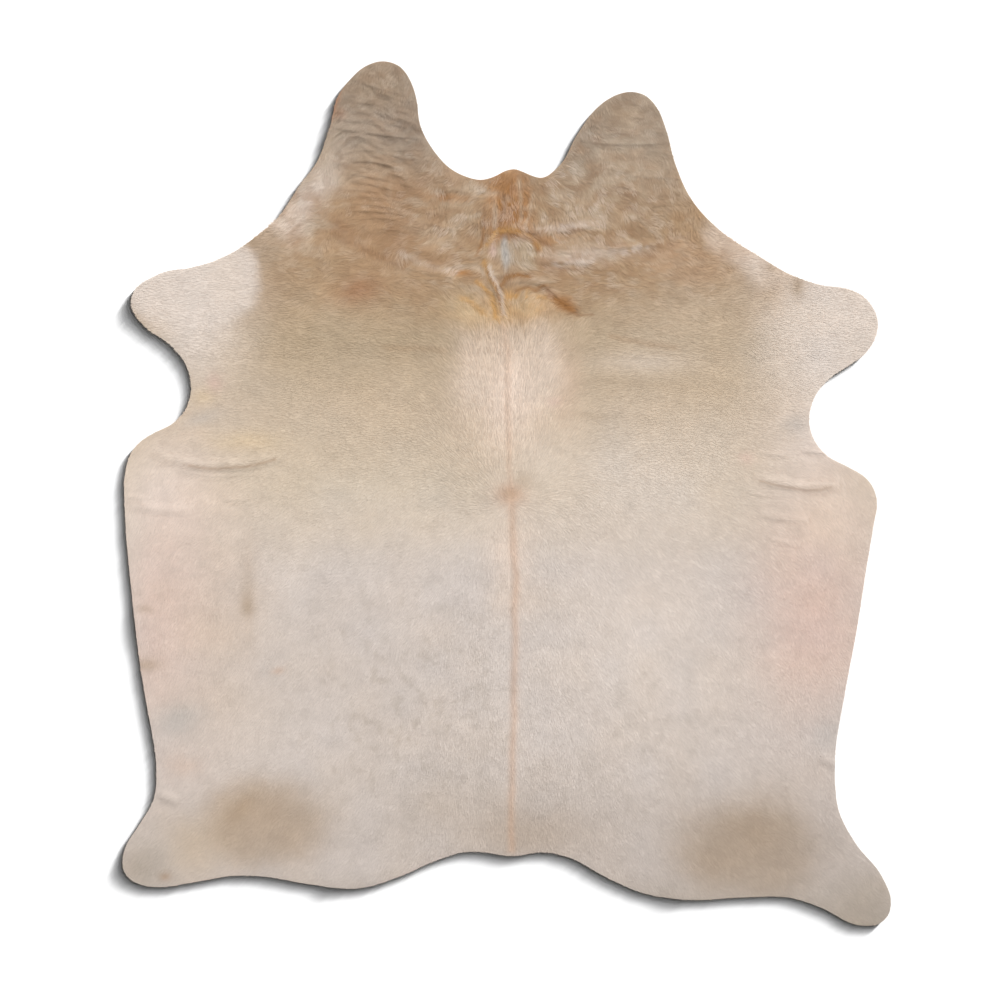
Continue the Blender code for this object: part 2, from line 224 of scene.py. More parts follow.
# %% Fine creases that only the light shows
FINE_CREASES = [Fold(*row) for row in [
    ("left flap, nick at the edge", (-0.424, 0.936), (-0.392, 0.933), 0.000, 0.0016, 0.006),
    ("left flap, slanting crease", (-0.334, 0.942), (-0.294, 0.919), 0.002, 0.0014, 0.006),
    ("left flap, tip line", (-0.360, 1.000), (-0.300, 0.990), 0.003, 0.0012, 0.006),
    ("left flap, inner line", (-0.300, 0.905), (-0.236, 0.893), 0.004, 0.0014, 0.006),
    ("left neck, outer line", (-0.330, 0.650), (-0.240, 0.640), 0.004, 0.0016, 0.008),
    ("left neck, long line", (-0.240, 0.700), (-0.130, 0.690), -0.004, 0.0018, 0.009),
    ("left neck, valley line", (-0.215, 0.665), (-0.110, 0.640), 0.005, 0.0018, 0.010),
    ("left shoulder, soft roll", (-0.260, 0.600), (-0.120, 0.580), 0.006, 0.0020, 0.012),
    ("left shoulder, lower roll", (-0.250, 0.560), (-0.130, 0.535), -0.004, 0.0018, 0.012),
    ("right flap, tip line", (0.270, 0.955), (0.345, 0.950), 0.003, 0.0013, 0.007),
    ("right flap, middle line", (0.235, 0.846), (0.330, 0.842), 0.003, 0.0014, 0.007),
    ("right neck, upper line", (0.205, 0.800), (0.290, 0.790), 0.003, 0.0015, 0.009),
    ("right neck, short line", (0.130, 0.720), (0.210, 0.712), -0.004, 0.0018, 0.010),
    ("right neck, outer roll", (0.400, 0.655), (0.500, 0.640), 0.004, 0.0018, 0.012),
    ("left flank, line over the crease", (-0.930, -0.006), (-0.874, -0.011), 0.000, 0.0016, 0.009),
    ("left armpit, faint line", (-0.800, 0.060), (-0.640, 0.052), -0.010, 0.0014, 0.010),
    ("right armpit, faint line", (0.586, 0.006), (0.640, -0.002), -0.002, 0.0014, 0.009),
    ("right flank, faint line", (0.640, -0.110), (0.720, -0.118), -0.002, 0.0012, 0.010),
]]
print("fine creases", len(FINE_CREASES))

# %% [markdown]
# ## Heights
# Everything that follows asks for heights at thousands of places at once, so the rules are
# written for whole arrays. A fold is a cosine ridge that dies out at both ends. Under a hollow
# fold the leather lifts off the floor, and the others are only thicker places.

# %% How high a fold stands
LEE = -0.35
WIDE_FOLD = 0.020


def on_fold(fold, places):
    """Which places a fold reaches, how far along it they are, and how far across, -1 to 1."""
    start = np.array(fold.start[:], dtype=float)
    chord = np.array(fold.end[:], dtype=float) - start
    length = float(np.hypot(*chord))
    reach = length + fold.spread + abs(fold.bow)
    close = np.flatnonzero((np.abs(places - start) < reach).all(axis=1))
    offset = places[close] - start
    along = offset @ chord / length ** 2
    sideways = (chord[0] * offset[:, 1] - chord[1] * offset[:, 0]) / length
    across = (sideways - fold.bow * 4 * along * (1 - along)) / fold.spread
    on_it = (along > 0) & (along < 1) & (np.abs(across) < 1)
    return close[on_it], along[on_it], across[on_it]


def fold_rise(fold, places):
    """How high a fold stands at each place; a narrow one leans over to its lee side."""
    close, along, across = on_fold(fold, places)
    crest = 0.0 if fold.hollow or fold.spread > WIDE_FOLD else LEE
    side = np.where(across > crest, 1 - crest, 1 + crest)
    ridge = 0.5 + 0.5 * np.cos(math.pi * (across - crest) / side)
    rise = np.zeros(len(places))
    rise[close] = fold.rise * ridge * np.sqrt(np.sin(math.pi * along))
    return rise


def flesh_height(places):
    """The height of the flesh side over the floor."""
    return sum(fold_rise(fold, places) for fold in FOLDS if fold.hollow)


def ridge_height(places):
    """What the folds that aren't hollow add to the hair side."""
    ridges = [fold for fold in FOLDS + FINE_CREASES if not fold.hollow]
    return sum(fold_rise(fold, places) for fold in ridges)


# %% Soft noise, the same on every run
NOISE_SIDE = 128
NOISE_SHIFT = 50.0


def soft_noise(places, pitch, seed, stretch=1.0):
    """Smooth random values from -1 to 1 with hills about pitch wide, longer across by stretch."""
    grid = np.random.default_rng(seed).uniform(-1, 1, (NOISE_SIDE, NOISE_SIDE))
    at = places / np.array([pitch * stretch, pitch]) + NOISE_SHIFT
    cell = np.floor(at).astype(int)
    part = at - cell
    part = part * part * (3 - 2 * part)
    column, row = cell[:, 0] % NOISE_SIDE, cell[:, 1] % NOISE_SIDE
    next_column, next_row = (column + 1) % NOISE_SIDE, (row + 1) % NOISE_SIDE
    low = grid[column, row] * (1 - part[:, 0]) + grid[next_column, row] * part[:, 0]
    high = grid[column, next_row] * (1 - part[:, 0]) + grid[next_column, next_row] * part[:, 0]
    return low * (1 - part[:, 1]) + high * part[:, 1]


def layered(places, layers):
    """Layers of soft noise added up; each has its size, its pitch, its seed and its stretch."""
    return sum(
        size * soft_noise(places, pitch, seed, stretch) for size, pitch, seed, stretch in layers)


def nearness(places, centre, reach, turn=0.0, firm=1.0):
    """One at the centre of an oval and nothing far from it; turn is in degrees."""
    offset = places - np.array(centre)
    c, s = math.cos(math.radians(turn)), math.sin(math.radians(turn))
    along = (offset[:, 0] * c + offset[:, 1] * s) / reach[0]
    across = (offset[:, 1] * c - offset[:, 0] * s) / reach[1]
    return np.exp(-(along ** 2 + across ** 2) ** firm)


print("noise from", round(float(soft_noise(edge_row, 0.05, 1).min()), 2))

# %% [markdown]
# ## The depth of the coat
# Hair lies two millimetres deep on the belly, a little deeper along the spine, and deepest on
# the hump, where it grows in tufts. The same few numbers as in the solid set it.
# The skin under it isn't a plane either: where tufts grow it is a little lumpy, which breaks
# up the light, and the flaps are crossed by short crinkles. A displace modifier could do that,
# but a rule that knows the place keeps the lumps on the neck, where they belong.

# %% Coat depth and small relief
LEATHER = 0.0025
BELLY_COAT = 0.0018
SPINE_COAT = 0.0012
SPINE_COAT_SPREAD = 0.30
HUMP_COAT = 0.0022
HUMP_COAT_SPREAD = 0.16
HUMP = (0.01, 0.56)
NECK_START = 0.30
NECK_FULL = 0.62
NECK_SIDES = (0.66, 0.50)
TUFTED = [((0.080, 0.660), (0.330, 0.240)), ((-0.500, 0.700), (0.075, 0.110))]
SIDE_TUFTS = 0.35
CRINKLED = [((-0.320, 0.880), (0.120, 0.190), 1.0), ((0.315, 0.860), (0.110, 0.130), 0.45)]
CRINKLE_RISE = 0.0042
CRINKLE_LIFT = 0.22
CRINKLE_WAVES = [(0.010, 0.045, 91, 1.0)]
CRINKLE_NOISE = [(0.65, 0.0110, 92, 3.4), (0.45, 0.0070, 93, 2.8)]
ARCHED_AT = -0.355
SLANT = 0.30
ARCH = 9.0
ROLL_NOISE = [(0.6, 0.015, 11, 2.8), (0.4, 0.010, 12, 2.2)]
NECK_LUMPS = 0.0020
BODY_LUMPS = 0.0004


def coat_depth(places):
    """How deep the lying hair is."""
    spine = np.exp(-(places[:, 0] / SPINE_COAT_SPREAD) ** 2)
    hump = nearness(places, HUMP, (HUMP_COAT_SPREAD, HUMP_COAT_SPREAD))
    return BELLY_COAT + SPINE_COAT * spine + HUMP_COAT * hump


def neck_share(places):
    """Nothing on the body and the legs, rising softly to one on the neck."""
    rising = np.clip((places[:, 1] - NECK_START) / (NECK_FULL - NECK_START), 0, 1)
    outer, inner = NECK_SIDES
    rising *= np.clip((outer - np.abs(places[:, 0])) / (outer - inner), 0, 1)
    return rising * rising * (3 - 2 * rising)


def tuft_share(places):
    """One where the neck's hair grows in tufts, and less on the flaps and the shoulders."""
    tufty = sum(nearness(places, centre, reach, firm=2.0) for centre, reach in TUFTED)
    return neck_share(places) * (SIDE_TUFTS + (1 - SIDE_TUFTS) * np.minimum(tufty, 1))


def crinkles(places):
    """Uneven little ridges across the flaps, with shallow valleys; on the left flap they arch."""
    beside = places[:, 0] - ARCHED_AT
    waved = places.copy()
    waved[:, 1] += layered(places, CRINKLE_WAVES)
    waved[:, 1] += np.where(
        places[:, 0] < 0, SLANT * np.maximum(beside, 0) + ARCH * np.minimum(beside, 0) ** 2, 0)
    share = sum(
        strength * nearness(places, centre, reach, firm=2.0)
        for centre, reach, strength in CRINKLED)
    return (layered(waved, CRINKLE_NOISE) + CRINKLE_LIFT) * share


def lumps(places):
    """Small relief of the skin: crinkled flaps, flat-lying rolls on the neck, a calm body."""
    size = BODY_LUMPS + (NECK_LUMPS - BODY_LUMPS) * neck_share(places)
    return size * layered(places, ROLL_NOISE) + CRINKLE_RISE * crinkles(places)


print("coat depth in mm", round(1000 * float(coat_depth(edge_row).max()), 2))

# %% [markdown]
# ## The skin as a sheet
# The leather is a thin closed sheet: the hair side, the flesh side and the cut edge between.
# Even rows of points are laid inside the edge and joined by a triangulation that keeps the
# edge. A subdivided plane cut to shape would leave a stepped rim. The hair side needs close
# points for its wrinkles. The flesh side is nearly flat and gets by with wide ones.

# %% Measure how far every place is from the edge
GAP_STEP = 0.005
GAP_MARGIN = 0.04
LAST_CELL = 1.001

edge_tree = KDTree(len(edge_row))
for i, place in enumerate(edge_row):
    edge_tree.insert((*place, 0.0), i)
edge_tree.balance()


def crossings_at(y):
    """Where a level line crosses the edge."""
    ahead = np.roll(edge_row, -1, axis=0)
    crosses = (edge_row[:, 1] > y) != (ahead[:, 1] > y)
    one, other = edge_row[crosses], ahead[crosses]
    share = (y - one[:, 1]) / (other[:, 1] - one[:, 1])
    return np.sort(one[:, 0] + share * (other[:, 0] - one[:, 0]))


gap_low = edge_row.min(axis=0) - GAP_MARGIN
gap_counts = np.ceil((edge_row.max(axis=0) + GAP_MARGIN - gap_low) / GAP_STEP).astype(int) + 1
gap_map = np.empty(gap_counts)
for row in range(gap_counts[1]):
    y = gap_low[1] + row * GAP_STEP
    xs = gap_low[0] + np.arange(gap_counts[0]) * GAP_STEP
    side = np.where(np.searchsorted(crossings_at(y), xs) % 2 == 1, 1.0, -1.0)
    gap_map[:, row] = side * [edge_tree.find((x, y, 0.0))[2] for x in xs]


def edge_gap(places):
    """How far inside the edge each place is; outside it the gap is negative."""
    at = np.clip((places - gap_low) / GAP_STEP, 0, gap_counts - LAST_CELL)
    cell = at.astype(int)
    part = at - cell
    column, row = cell[:, 0], cell[:, 1]
    low = gap_map[column, row] * (1 - part[:, 0]) + gap_map[column + 1, row] * part[:, 0]
    high = (
        gap_map[column, row + 1] * (1 - part[:, 0]) + gap_map[column + 1, row + 1] * part[:, 0])
    return low * (1 - part[:, 1]) + high * part[:, 1]


print("gap map", gap_map.shape, "widest gap", round(float(gap_map.max()), 3))

# %% Lay points inside the edge
HAIR_SIDE_STEP = 0.0098
CREASE_STEP = 0.0040
FLESH_SIDE_STEP = 0.0150
CLEAR_OF_EDGE = 0.55
BESIDE_CREASE = 1.15
FINELY_CRINKLED = 0.3


def rows_inside(step):
    """Even rows of points inside the edge, every other one shifted by half a step."""
    low, high = edge_row.min(axis=0), edge_row.max(axis=0)
    row_step = step * math.sqrt(3) / 2
    found = []
    for number, y in enumerate(np.arange(low[1] + row_step / 2, high[1], row_step)):
        xs = np.arange(low[0] + number % 2 * step / 2, high[0], step)
        xs = xs[np.searchsorted(crossings_at(y), xs) % 2 == 1]
        found.append(np.stack([xs, np.full(len(xs), y)], axis=1))
    places = np.concatenate(found)
    return places[edge_gap(places) > CLEAR_OF_EDGE * step]


def beside_crease(places):
    """True at the places on a narrow fold or close beside it, and on the crinkled flaps."""
    near = np.zeros(len(places), dtype=bool)
    for centre, reach, strength in CRINKLED:
        near |= strength * nearness(places, centre, reach, firm=2.0) > FINELY_CRINKLED
    for fold in FOLDS + FINE_CREASES:
        if fold.spread <= WIDE_FOLD:
            near[on_fold(fold._replace(spread=fold.spread * BESIDE_CREASE), places)[0]] = True
    return near


def hair_side_rows():
    """Wide rows all over the hide, with close ones in their place along the creases."""
    wide, close = rows_inside(HAIR_SIDE_STEP), rows_inside(CREASE_STEP)
    return np.concatenate([wide[~beside_crease(wide)], close[beside_crease(close)]])


def triangulated(inside):
    """The places and triangles of a sheet inside the edge; the edge's own points come first."""
    places = np.concatenate([edge_row, inside])
    count = len(edge_row)
    around = [(i, (i + 1) % count) for i in range(count)]
    inside_only = 1
    found, _, faces, sources, _, _ = delaunay_2d_cdt(
        [Vector(place) for place in places], around, [], inside_only, SAME_SPOT / 10)
    kept = {given: n for n, origin in enumerate(sources) for given in origin}
    rim = np.array([kept[i] for i in range(count)])
    return np.array([place[:] for place in found]), np.array(faces), rim


hair_side, hair_faces, hair_rim = triangulated(hair_side_rows())
flesh_side, flesh_faces, flesh_rim = triangulated(rows_inside(FLESH_SIDE_STEP))
print("triangles: hair side", len(hair_faces), "flesh side", len(flesh_faces))

# %% Give the sheet its heights
EDGE_WEAR = 0.0004
WORN_BAND = 0.004
RISING_BAND = 0.012
DEEPEST_LUMP = -LEATHER / 3


def surface_height(places):
    """The height of the leather's hair side; folds and lumps die out at the cut edge."""
    gaps = np.maximum(edge_gap(places), 0)
    worn = np.exp(-(gaps / WORN_BAND) ** 2) * EDGE_WEAR
    inside = np.clip(gaps / RISING_BAND, 0, 1)
    relief = ridge_height(places) + np.maximum(lumps(places), DEEPEST_LUMP)
    return flesh_height(places) + LEATHER - worn + inside * relief


hair_side_gap = edge_gap(hair_side)
hair_side_z = surface_height(hair_side)
flesh_side_z = flesh_height(flesh_side)
print("hair side up to mm", round(1000 * float(hair_side_z.max()), 2))

# %% [markdown]
# ## Hair colours and markings
# A pale hide is never one colour. The neck is greyer and tanner, the back is cream, the flanks
# blush pink, the rump has two brown clouds and the spine is a thin warm line. One could paint
# a picture on the mesh by hand, but a table is easier to read and to change. Each marking is a
# soft oval with a named hair colour, in the order in which a painter would lay them: large
# and faint first, small and strong last.

# %% The named hair colours
HAIR = {
    "ash tan": (169, 150, 131),
    "tan": (184, 153, 119),
    "brown": (164, 125, 90),
    "russet": (170, 117, 78),
    "brick": (186, 124, 86),
    "fox": (186, 129, 70),
    "gold": (211, 161, 94),
    "dark gold": (160, 112, 62),
    "umber": (164, 112, 60),
    "pearl": (198, 183, 163),
    "cool grey": (186, 181, 175),
    "olive beige": (193, 171, 142),
    "sand": (208, 188, 164),
    "oat": (214, 198, 178),
    "bone": (213, 201, 192),
    "oyster": (202, 190, 181),
    "cream": (236, 216, 199),
    "milk": (230, 217, 206),
    "blush": (224, 192, 177),
    "rose tan": (209, 172, 144),
    "straw": (224, 199, 160),
    "cloud brown": (166, 141, 112),
    "smoke": (178, 165, 151),
}


def linear(colour):
    """A colour as light amounts, by a screen's standard curve from its 0 to 255 steps."""
    steps = np.array(colour, dtype=float) / 255
    return np.where(steps <= 0.04045, steps / 12.92, ((steps + 0.055) / 1.055) ** 2.4)


print("hair colours", len(HAIR))

# %% The coat from neck to tail
# Each row is a place along the spine and the ground colour of the coat there.
GROUND = [
    (1.06, "ash tan"), (0.86, "ash tan"), (0.70, "tan"), (0.50, "tan"), (0.38, "olive beige"),
    (0.20, "sand"), (0.02, "oat"), (-0.20, "bone"), (-0.60, "bone"), (-0.80, "oyster"),
    (-0.92, "oyster"), (-1.06, "smoke"),
]
stations = np.array([row[0] for row in GROUND])[::-1]
ground_colours = np.array([linear(HAIR[row[1]]) for row in GROUND])[::-1]
print("ground colours from y", stations[0], "to", stations[-1])

# %% Markings of the neck and the hump
Marking = namedtuple("Marking", "name colour centre reach turn strength firm", defaults=[1.0])
MARKINGS = [Marking(*row) for row in [
    ("left flap, warm outer edge", "brick", (-0.420, 0.960), (0.010, 0.050), -18, 0.60),
    ("left flap, brick blush", "brick", (-0.405, 0.930), (0.014, 0.014), 0, 0.30),
    ("left flap, dark tip", "cloud brown", (-0.310, 1.000), (0.070, 0.060), 0, 0.40),
    ("left flap, pale outer edge", "sand", (-0.445, 0.835), (0.026, 0.050), 0, 0.55),
    ("left neck, wrinkled field", "brown", (-0.290, 0.720), (0.110, 0.070), -10, 0.54),
    ("left shoulder, pale tufts", "milk", (-0.475, 0.735), (0.037, 0.088), -28, 0.86),
    ("left shoulder, pale edge", "cream", (-0.540, 0.660), (0.054, 0.048), 40, 0.80),
    ("left neck, brown field", "brown", (-0.270, 0.620), (0.130, 0.055), -6, 0.50),
    ("left neck, brown streak", "brown", (-0.400, 0.655), (0.040, 0.014), -35, 0.65),
    ("left shoulder, red-brown patch", "russet", (-0.372, 0.494), (0.066, 0.034), 12, 0.90),
    ("left neck, pale tufts", "sand", (-0.190, 0.640), (0.060, 0.026), -20, 0.45),
    ("left neck, inner field", "sand", (-0.120, 0.705), (0.075, 0.050), 0, 0.26),
    ("left neck, fox valley", "fox", (-0.140, 0.725), (0.045, 0.010), -6, 0.75),
    ("neck, left rolls", "sand", (-0.115, 0.775), (0.030, 0.016), -30, 0.35),
    ("neck, fox peak", "fox", (0.006, 0.700), (0.056, 0.100), 0, 0.88, 2.5),
    ("neck, brown heart", "umber", (-0.010, 0.650), (0.032, 0.036), 0, 0.75),
    ("neck, pale sliver", "sand", (-0.030, 0.685), (0.007, 0.040), 0, 0.65),
    ("right flap, warm tip", "tan", (0.290, 0.935), (0.050, 0.040), 0, 0.45),
    ("right flap, lit field", "sand", (0.300, 0.810), (0.120, 0.130), 0, 0.52),
    ("right neck, lit field", "sand", (0.170, 0.710), (0.090, 0.060), 0, 0.32),
    ("right neck, pale rolls", "milk", (0.140, 0.655), (0.085, 0.014), 6, 0.46),
    ("right neck, lower pale rolls", "milk", (0.190, 0.590), (0.115, 0.020), 4, 0.56),
    ("right neck, brown between", "fox", (0.090, 0.625), (0.070, 0.011), 4, 0.42),
    ("right neck, brown field", "brown", (0.400, 0.590), (0.120, 0.040), -10, 0.10),
    ("right shoulder, brown patch", "rose tan", (0.446, 0.567), (0.110, 0.060), -6, 0.22, 3.0),
    ("right shoulder, pale border", "cream", (0.600, 0.610), (0.130, 0.075), -35, 0.64, 4.0),
    ("hump, brown cheek", "brown", (0.135, 0.545), (0.090, 0.035), 0, 0.22),
    ("cowlick, pearl oval", "pearl", (0.010, 0.592), (0.048, 0.042), 0, 0.80, 2.5),
    ("cowlick, beige right half", "olive beige", (0.046, 0.582), (0.030, 0.038), 0, 0.95, 2.0),
    ("cowlick, cool stripe", "cool grey", (-0.003, 0.594), (0.010, 0.046), 0, 0.85, 2.0),
    ("cowlick, pink tuft", "blush", (-0.034, 0.600), (0.010, 0.018), 0, 0.70, 1.5),
    ("hump, smudge by the cowlick", "fox", (-0.107, 0.542), (0.026, 0.009), -5, 0.80),
    ("hump, dark tuft", "umber", (0.137, 0.462), (0.028, 0.022), -35, 0.90, 1.5),
    ("left shoulder, tan beside the leg", "tan", (-0.500, 0.525), (0.120, 0.095), -15, 0.60,
     2.0),
    ("left shoulder, olive corner", "cloud brown", (-0.588, 0.590), (0.040, 0.055), 10, 0.45,
     2.0),
]]
print("markings so far", len(MARKINGS))

# %% Markings of the shoulders and fore legs
MARKINGS += [Marking(*row) for row in [
    ("left fore leg, pale", "milk", (-0.760, 0.440), (0.140, 0.190), 0, 1.00),
    ("left fore leg, firm border", "milk", (-0.790, 0.545), (0.190, 0.140), -15, 0.94, 7.0),
    ("left fore leg, pink spot", "blush", (-0.712, 0.272), (0.020, 0.024), 0, 0.60),
    ("left fore leg, straw foot", "straw", (-0.740, 0.235), (0.030, 0.020), 0, 0.50),
    ("left shoulder, olive field", "olive beige", (-0.450, 0.400), (0.150, 0.110), 0, 0.60),
    ("right fore leg, pale", "milk", (0.830, 0.400), (0.190, 0.190), 0, 1.00, 2.0),
    ("right fore leg, inner", "milk", (0.690, 0.370), (0.110, 0.150), 0, 0.60),
    ("right fore leg, pale border", "milk", (0.610, 0.560), (0.040, 0.060), -20, 0.50),
    ("right fore leg, brown rim", "cloud brown", (0.712, 0.504), (0.014, 0.028), 0, 0.60),
    ("right fore leg, small rim spot", "cloud brown", (0.647, 0.552), (0.016, 0.012), 0, 0.45),
    ("right shoulder, lit field", "sand", (0.420, 0.370), (0.200, 0.110), 0, 0.70),
    ("right shoulder, upper field", "sand", (0.500, 0.470), (0.150, 0.060), 0, 0.45),
    ("right shoulder, upper streak", "cloud brown", (0.330, 0.264), (0.150, 0.013), -4, 0.22),
    ("right shoulder, lower streak", "cloud brown", (0.210, 0.190), (0.110, 0.011), -3, 0.24),
    ("right shoulder, pale band", "milk", (0.330, 0.320), (0.120, 0.028), 0, 0.35),
    ("left armpit, cool patch", "cool grey", (-0.750, 0.180), (0.045, 0.016), 20, 0.50),
    ("left armpit, straw field", "straw", (-0.645, 0.128), (0.085, 0.026), 0, 0.55),
    ("right armpit, pale edge", "milk", (0.760, 0.120), (0.130, 0.120), 20, 1.00),
    ("right armpit, cool patch", "cool grey", (0.705, 0.168), (0.034, 0.022), 0, 0.45),
    ("mane, cream band", "cream", (0.005, 0.250), (0.095, 0.175), 0, 1.00),
    ("mane, cream wing left", "cream", (-0.085, 0.310), (0.040, 0.120), -12, 0.50),
    ("mane, cream wing right", "cream", (0.100, 0.330), (0.045, 0.110), 14, 0.55),
    ("mane, golden collar", "gold", (0.015, 0.442), (0.120, 0.038), 0, 0.66),
    ("mane, straw left", "straw", (-0.090, 0.450), (0.060, 0.040), -20, 0.60),
    ("mane, straw middle", "straw", (0.045, 0.455), (0.035, 0.035), 0, 0.50),
    ("mane, warm shade right", "rose tan", (0.150, 0.275), (0.035, 0.100), 0, 0.25),
    ("mane, pink spot right", "blush", (0.115, 0.225), (0.020, 0.012), 0, 0.45),
]]
print("markings so far", len(MARKINGS))

# %% Markings of the back, the flanks and the rump
MARKINGS += [Marking(*row) for row in [
    ("left flank, cream field", "milk", (-0.830, -0.020), (0.140, 0.150), 0, 0.88),
    ("left flank, broad blush", "blush", (-0.800, -0.260), (0.140, 0.330), 0, 0.46),
    ("left flank, blush", "blush", (-0.860, -0.330), (0.050, 0.200), 0, 0.25),
    ("left flank, shade", "sand", (-0.700, -0.330), (0.120, 0.300), 0, 0.36),
    ("left flank, smudge", "cloud brown", (-0.638, -0.270), (0.017, 0.026), 0, 0.48),
    ("left flank, upper smudge", "cloud brown", (-0.632, -0.235), (0.018, 0.100), 0, 0.28),
    ("left flank, rim spots", "cloud brown", (-0.880, -0.418), (0.030, 0.016), 0, 0.50),
    ("left flank, cool patch", "cool grey", (-0.800, -0.560), (0.072, 0.045), 20, 0.62),
    ("left flank, upper rim spot", "cloud brown", (-0.885, -0.282), (0.022, 0.009), 0, 0.34),
    ("left flank, red spot", "rose tan", (-0.560, -0.432), (0.016, 0.008), 15, 0.60),
    ("left flank, pale oval", "milk", (-0.518, -0.200), (0.022, 0.070), 0, 0.30),
    ("left thigh, warm shade", "rose tan", (-0.795, -0.670), (0.045, 0.035), 0, 0.26),
    ("right flank, broad blush", "blush", (0.760, -0.240), (0.150, 0.300), 0, 0.54),
    ("right flank, blush", "blush", (0.725, -0.330), (0.105, 0.160), 0, 0.50),
    ("right flank, upper blush", "cream", (0.790, -0.060), (0.120, 0.110), 0, 0.60),
    ("right flank, cool patch", "cool grey", (0.790, -0.590), (0.050, 0.060), -30, 0.40),
    ("right flank, blush spot", "blush", (0.584, 0.085), (0.018, 0.016), 0, 0.50),
    ("back, right lit field", "milk", (0.330, 0.030), (0.220, 0.140), 0, 0.50),
    ("back, right pale field", "milk", (0.300, -0.340), (0.300, 0.300), 0, 0.64),
    ("back, left grey field", "oyster", (-0.360, -0.480), (0.260, 0.200), 0, 0.55),
    ("whorl", "rose tan", (0.008, -0.004), (0.036, 0.026), 0, 0.85),
    ("whorl, heart", "tan", (0.008, -0.004), (0.020, 0.013), 0, 0.45),
    ("whorl, patch beside it", "cloud brown", (0.040, 0.028), (0.024, 0.018), 0, 0.34),
    ("back, cream by the spine", "cream", (0.012, -0.170), (0.055, 0.130), 0, 0.60),
    ("rump, left cloud", "cloud brown", (-0.590, -0.805), (0.158, 0.118), 0, 0.58, 2.5),
    ("rump, left cloud's heart", "tan", (-0.590, -0.790), (0.110, 0.075), 0, 0.14),
    ("rump, right cloud", "cloud brown", (0.600, -0.870), (0.190, 0.115), -8, 0.60, 2.0),
    ("rump, right cloud's heart", "cloud brown", (0.480, -0.905), (0.060, 0.060), 0, 0.26),
    ("rump, right upper cloud", "cloud brown", (0.640, -0.790), (0.120, 0.080), 0, 0.25),
    ("rump, left cloud's brow", "cloud brown", (-0.650, -0.770), (0.050, 0.022), 50, 0.36),
    ("rump, middle", "olive beige", (-0.150, -0.740), (0.220, 0.120), 0, 0.12),
    ("tail, brown field", "cloud brown", (0.070, -0.825), (0.140, 0.075), 0, 0.34),
    ("left hind leg, oat field", "olive beige", (-0.780, -0.860), (0.090, 0.080), 0, 0.50),
    ("left hind leg, small spot", "brown", (-0.840, -0.934), (0.015, 0.013), 0, 0.75),
    ("left hind leg, grey tip", "smoke", (-0.890, -0.910), (0.060, 0.060), 0, 0.85),
    ("right hind leg, grey tip", "smoke", (0.880, -0.990), (0.070, 0.070), 0, 0.70),
]]
print("markings so far", len(MARKINGS))

# %% [markdown]
# ## Streaks and locks
# Some marks are lines rather than ovals: the warm spine, the golden locks that arch round the
# cowlick and the brushed brown streaks of the shoulder. A streak is a soft line through a few
# places. It tints the hair, and where it says so it also combs the hair along itself. One that
# combs nothing is broken up into patches.

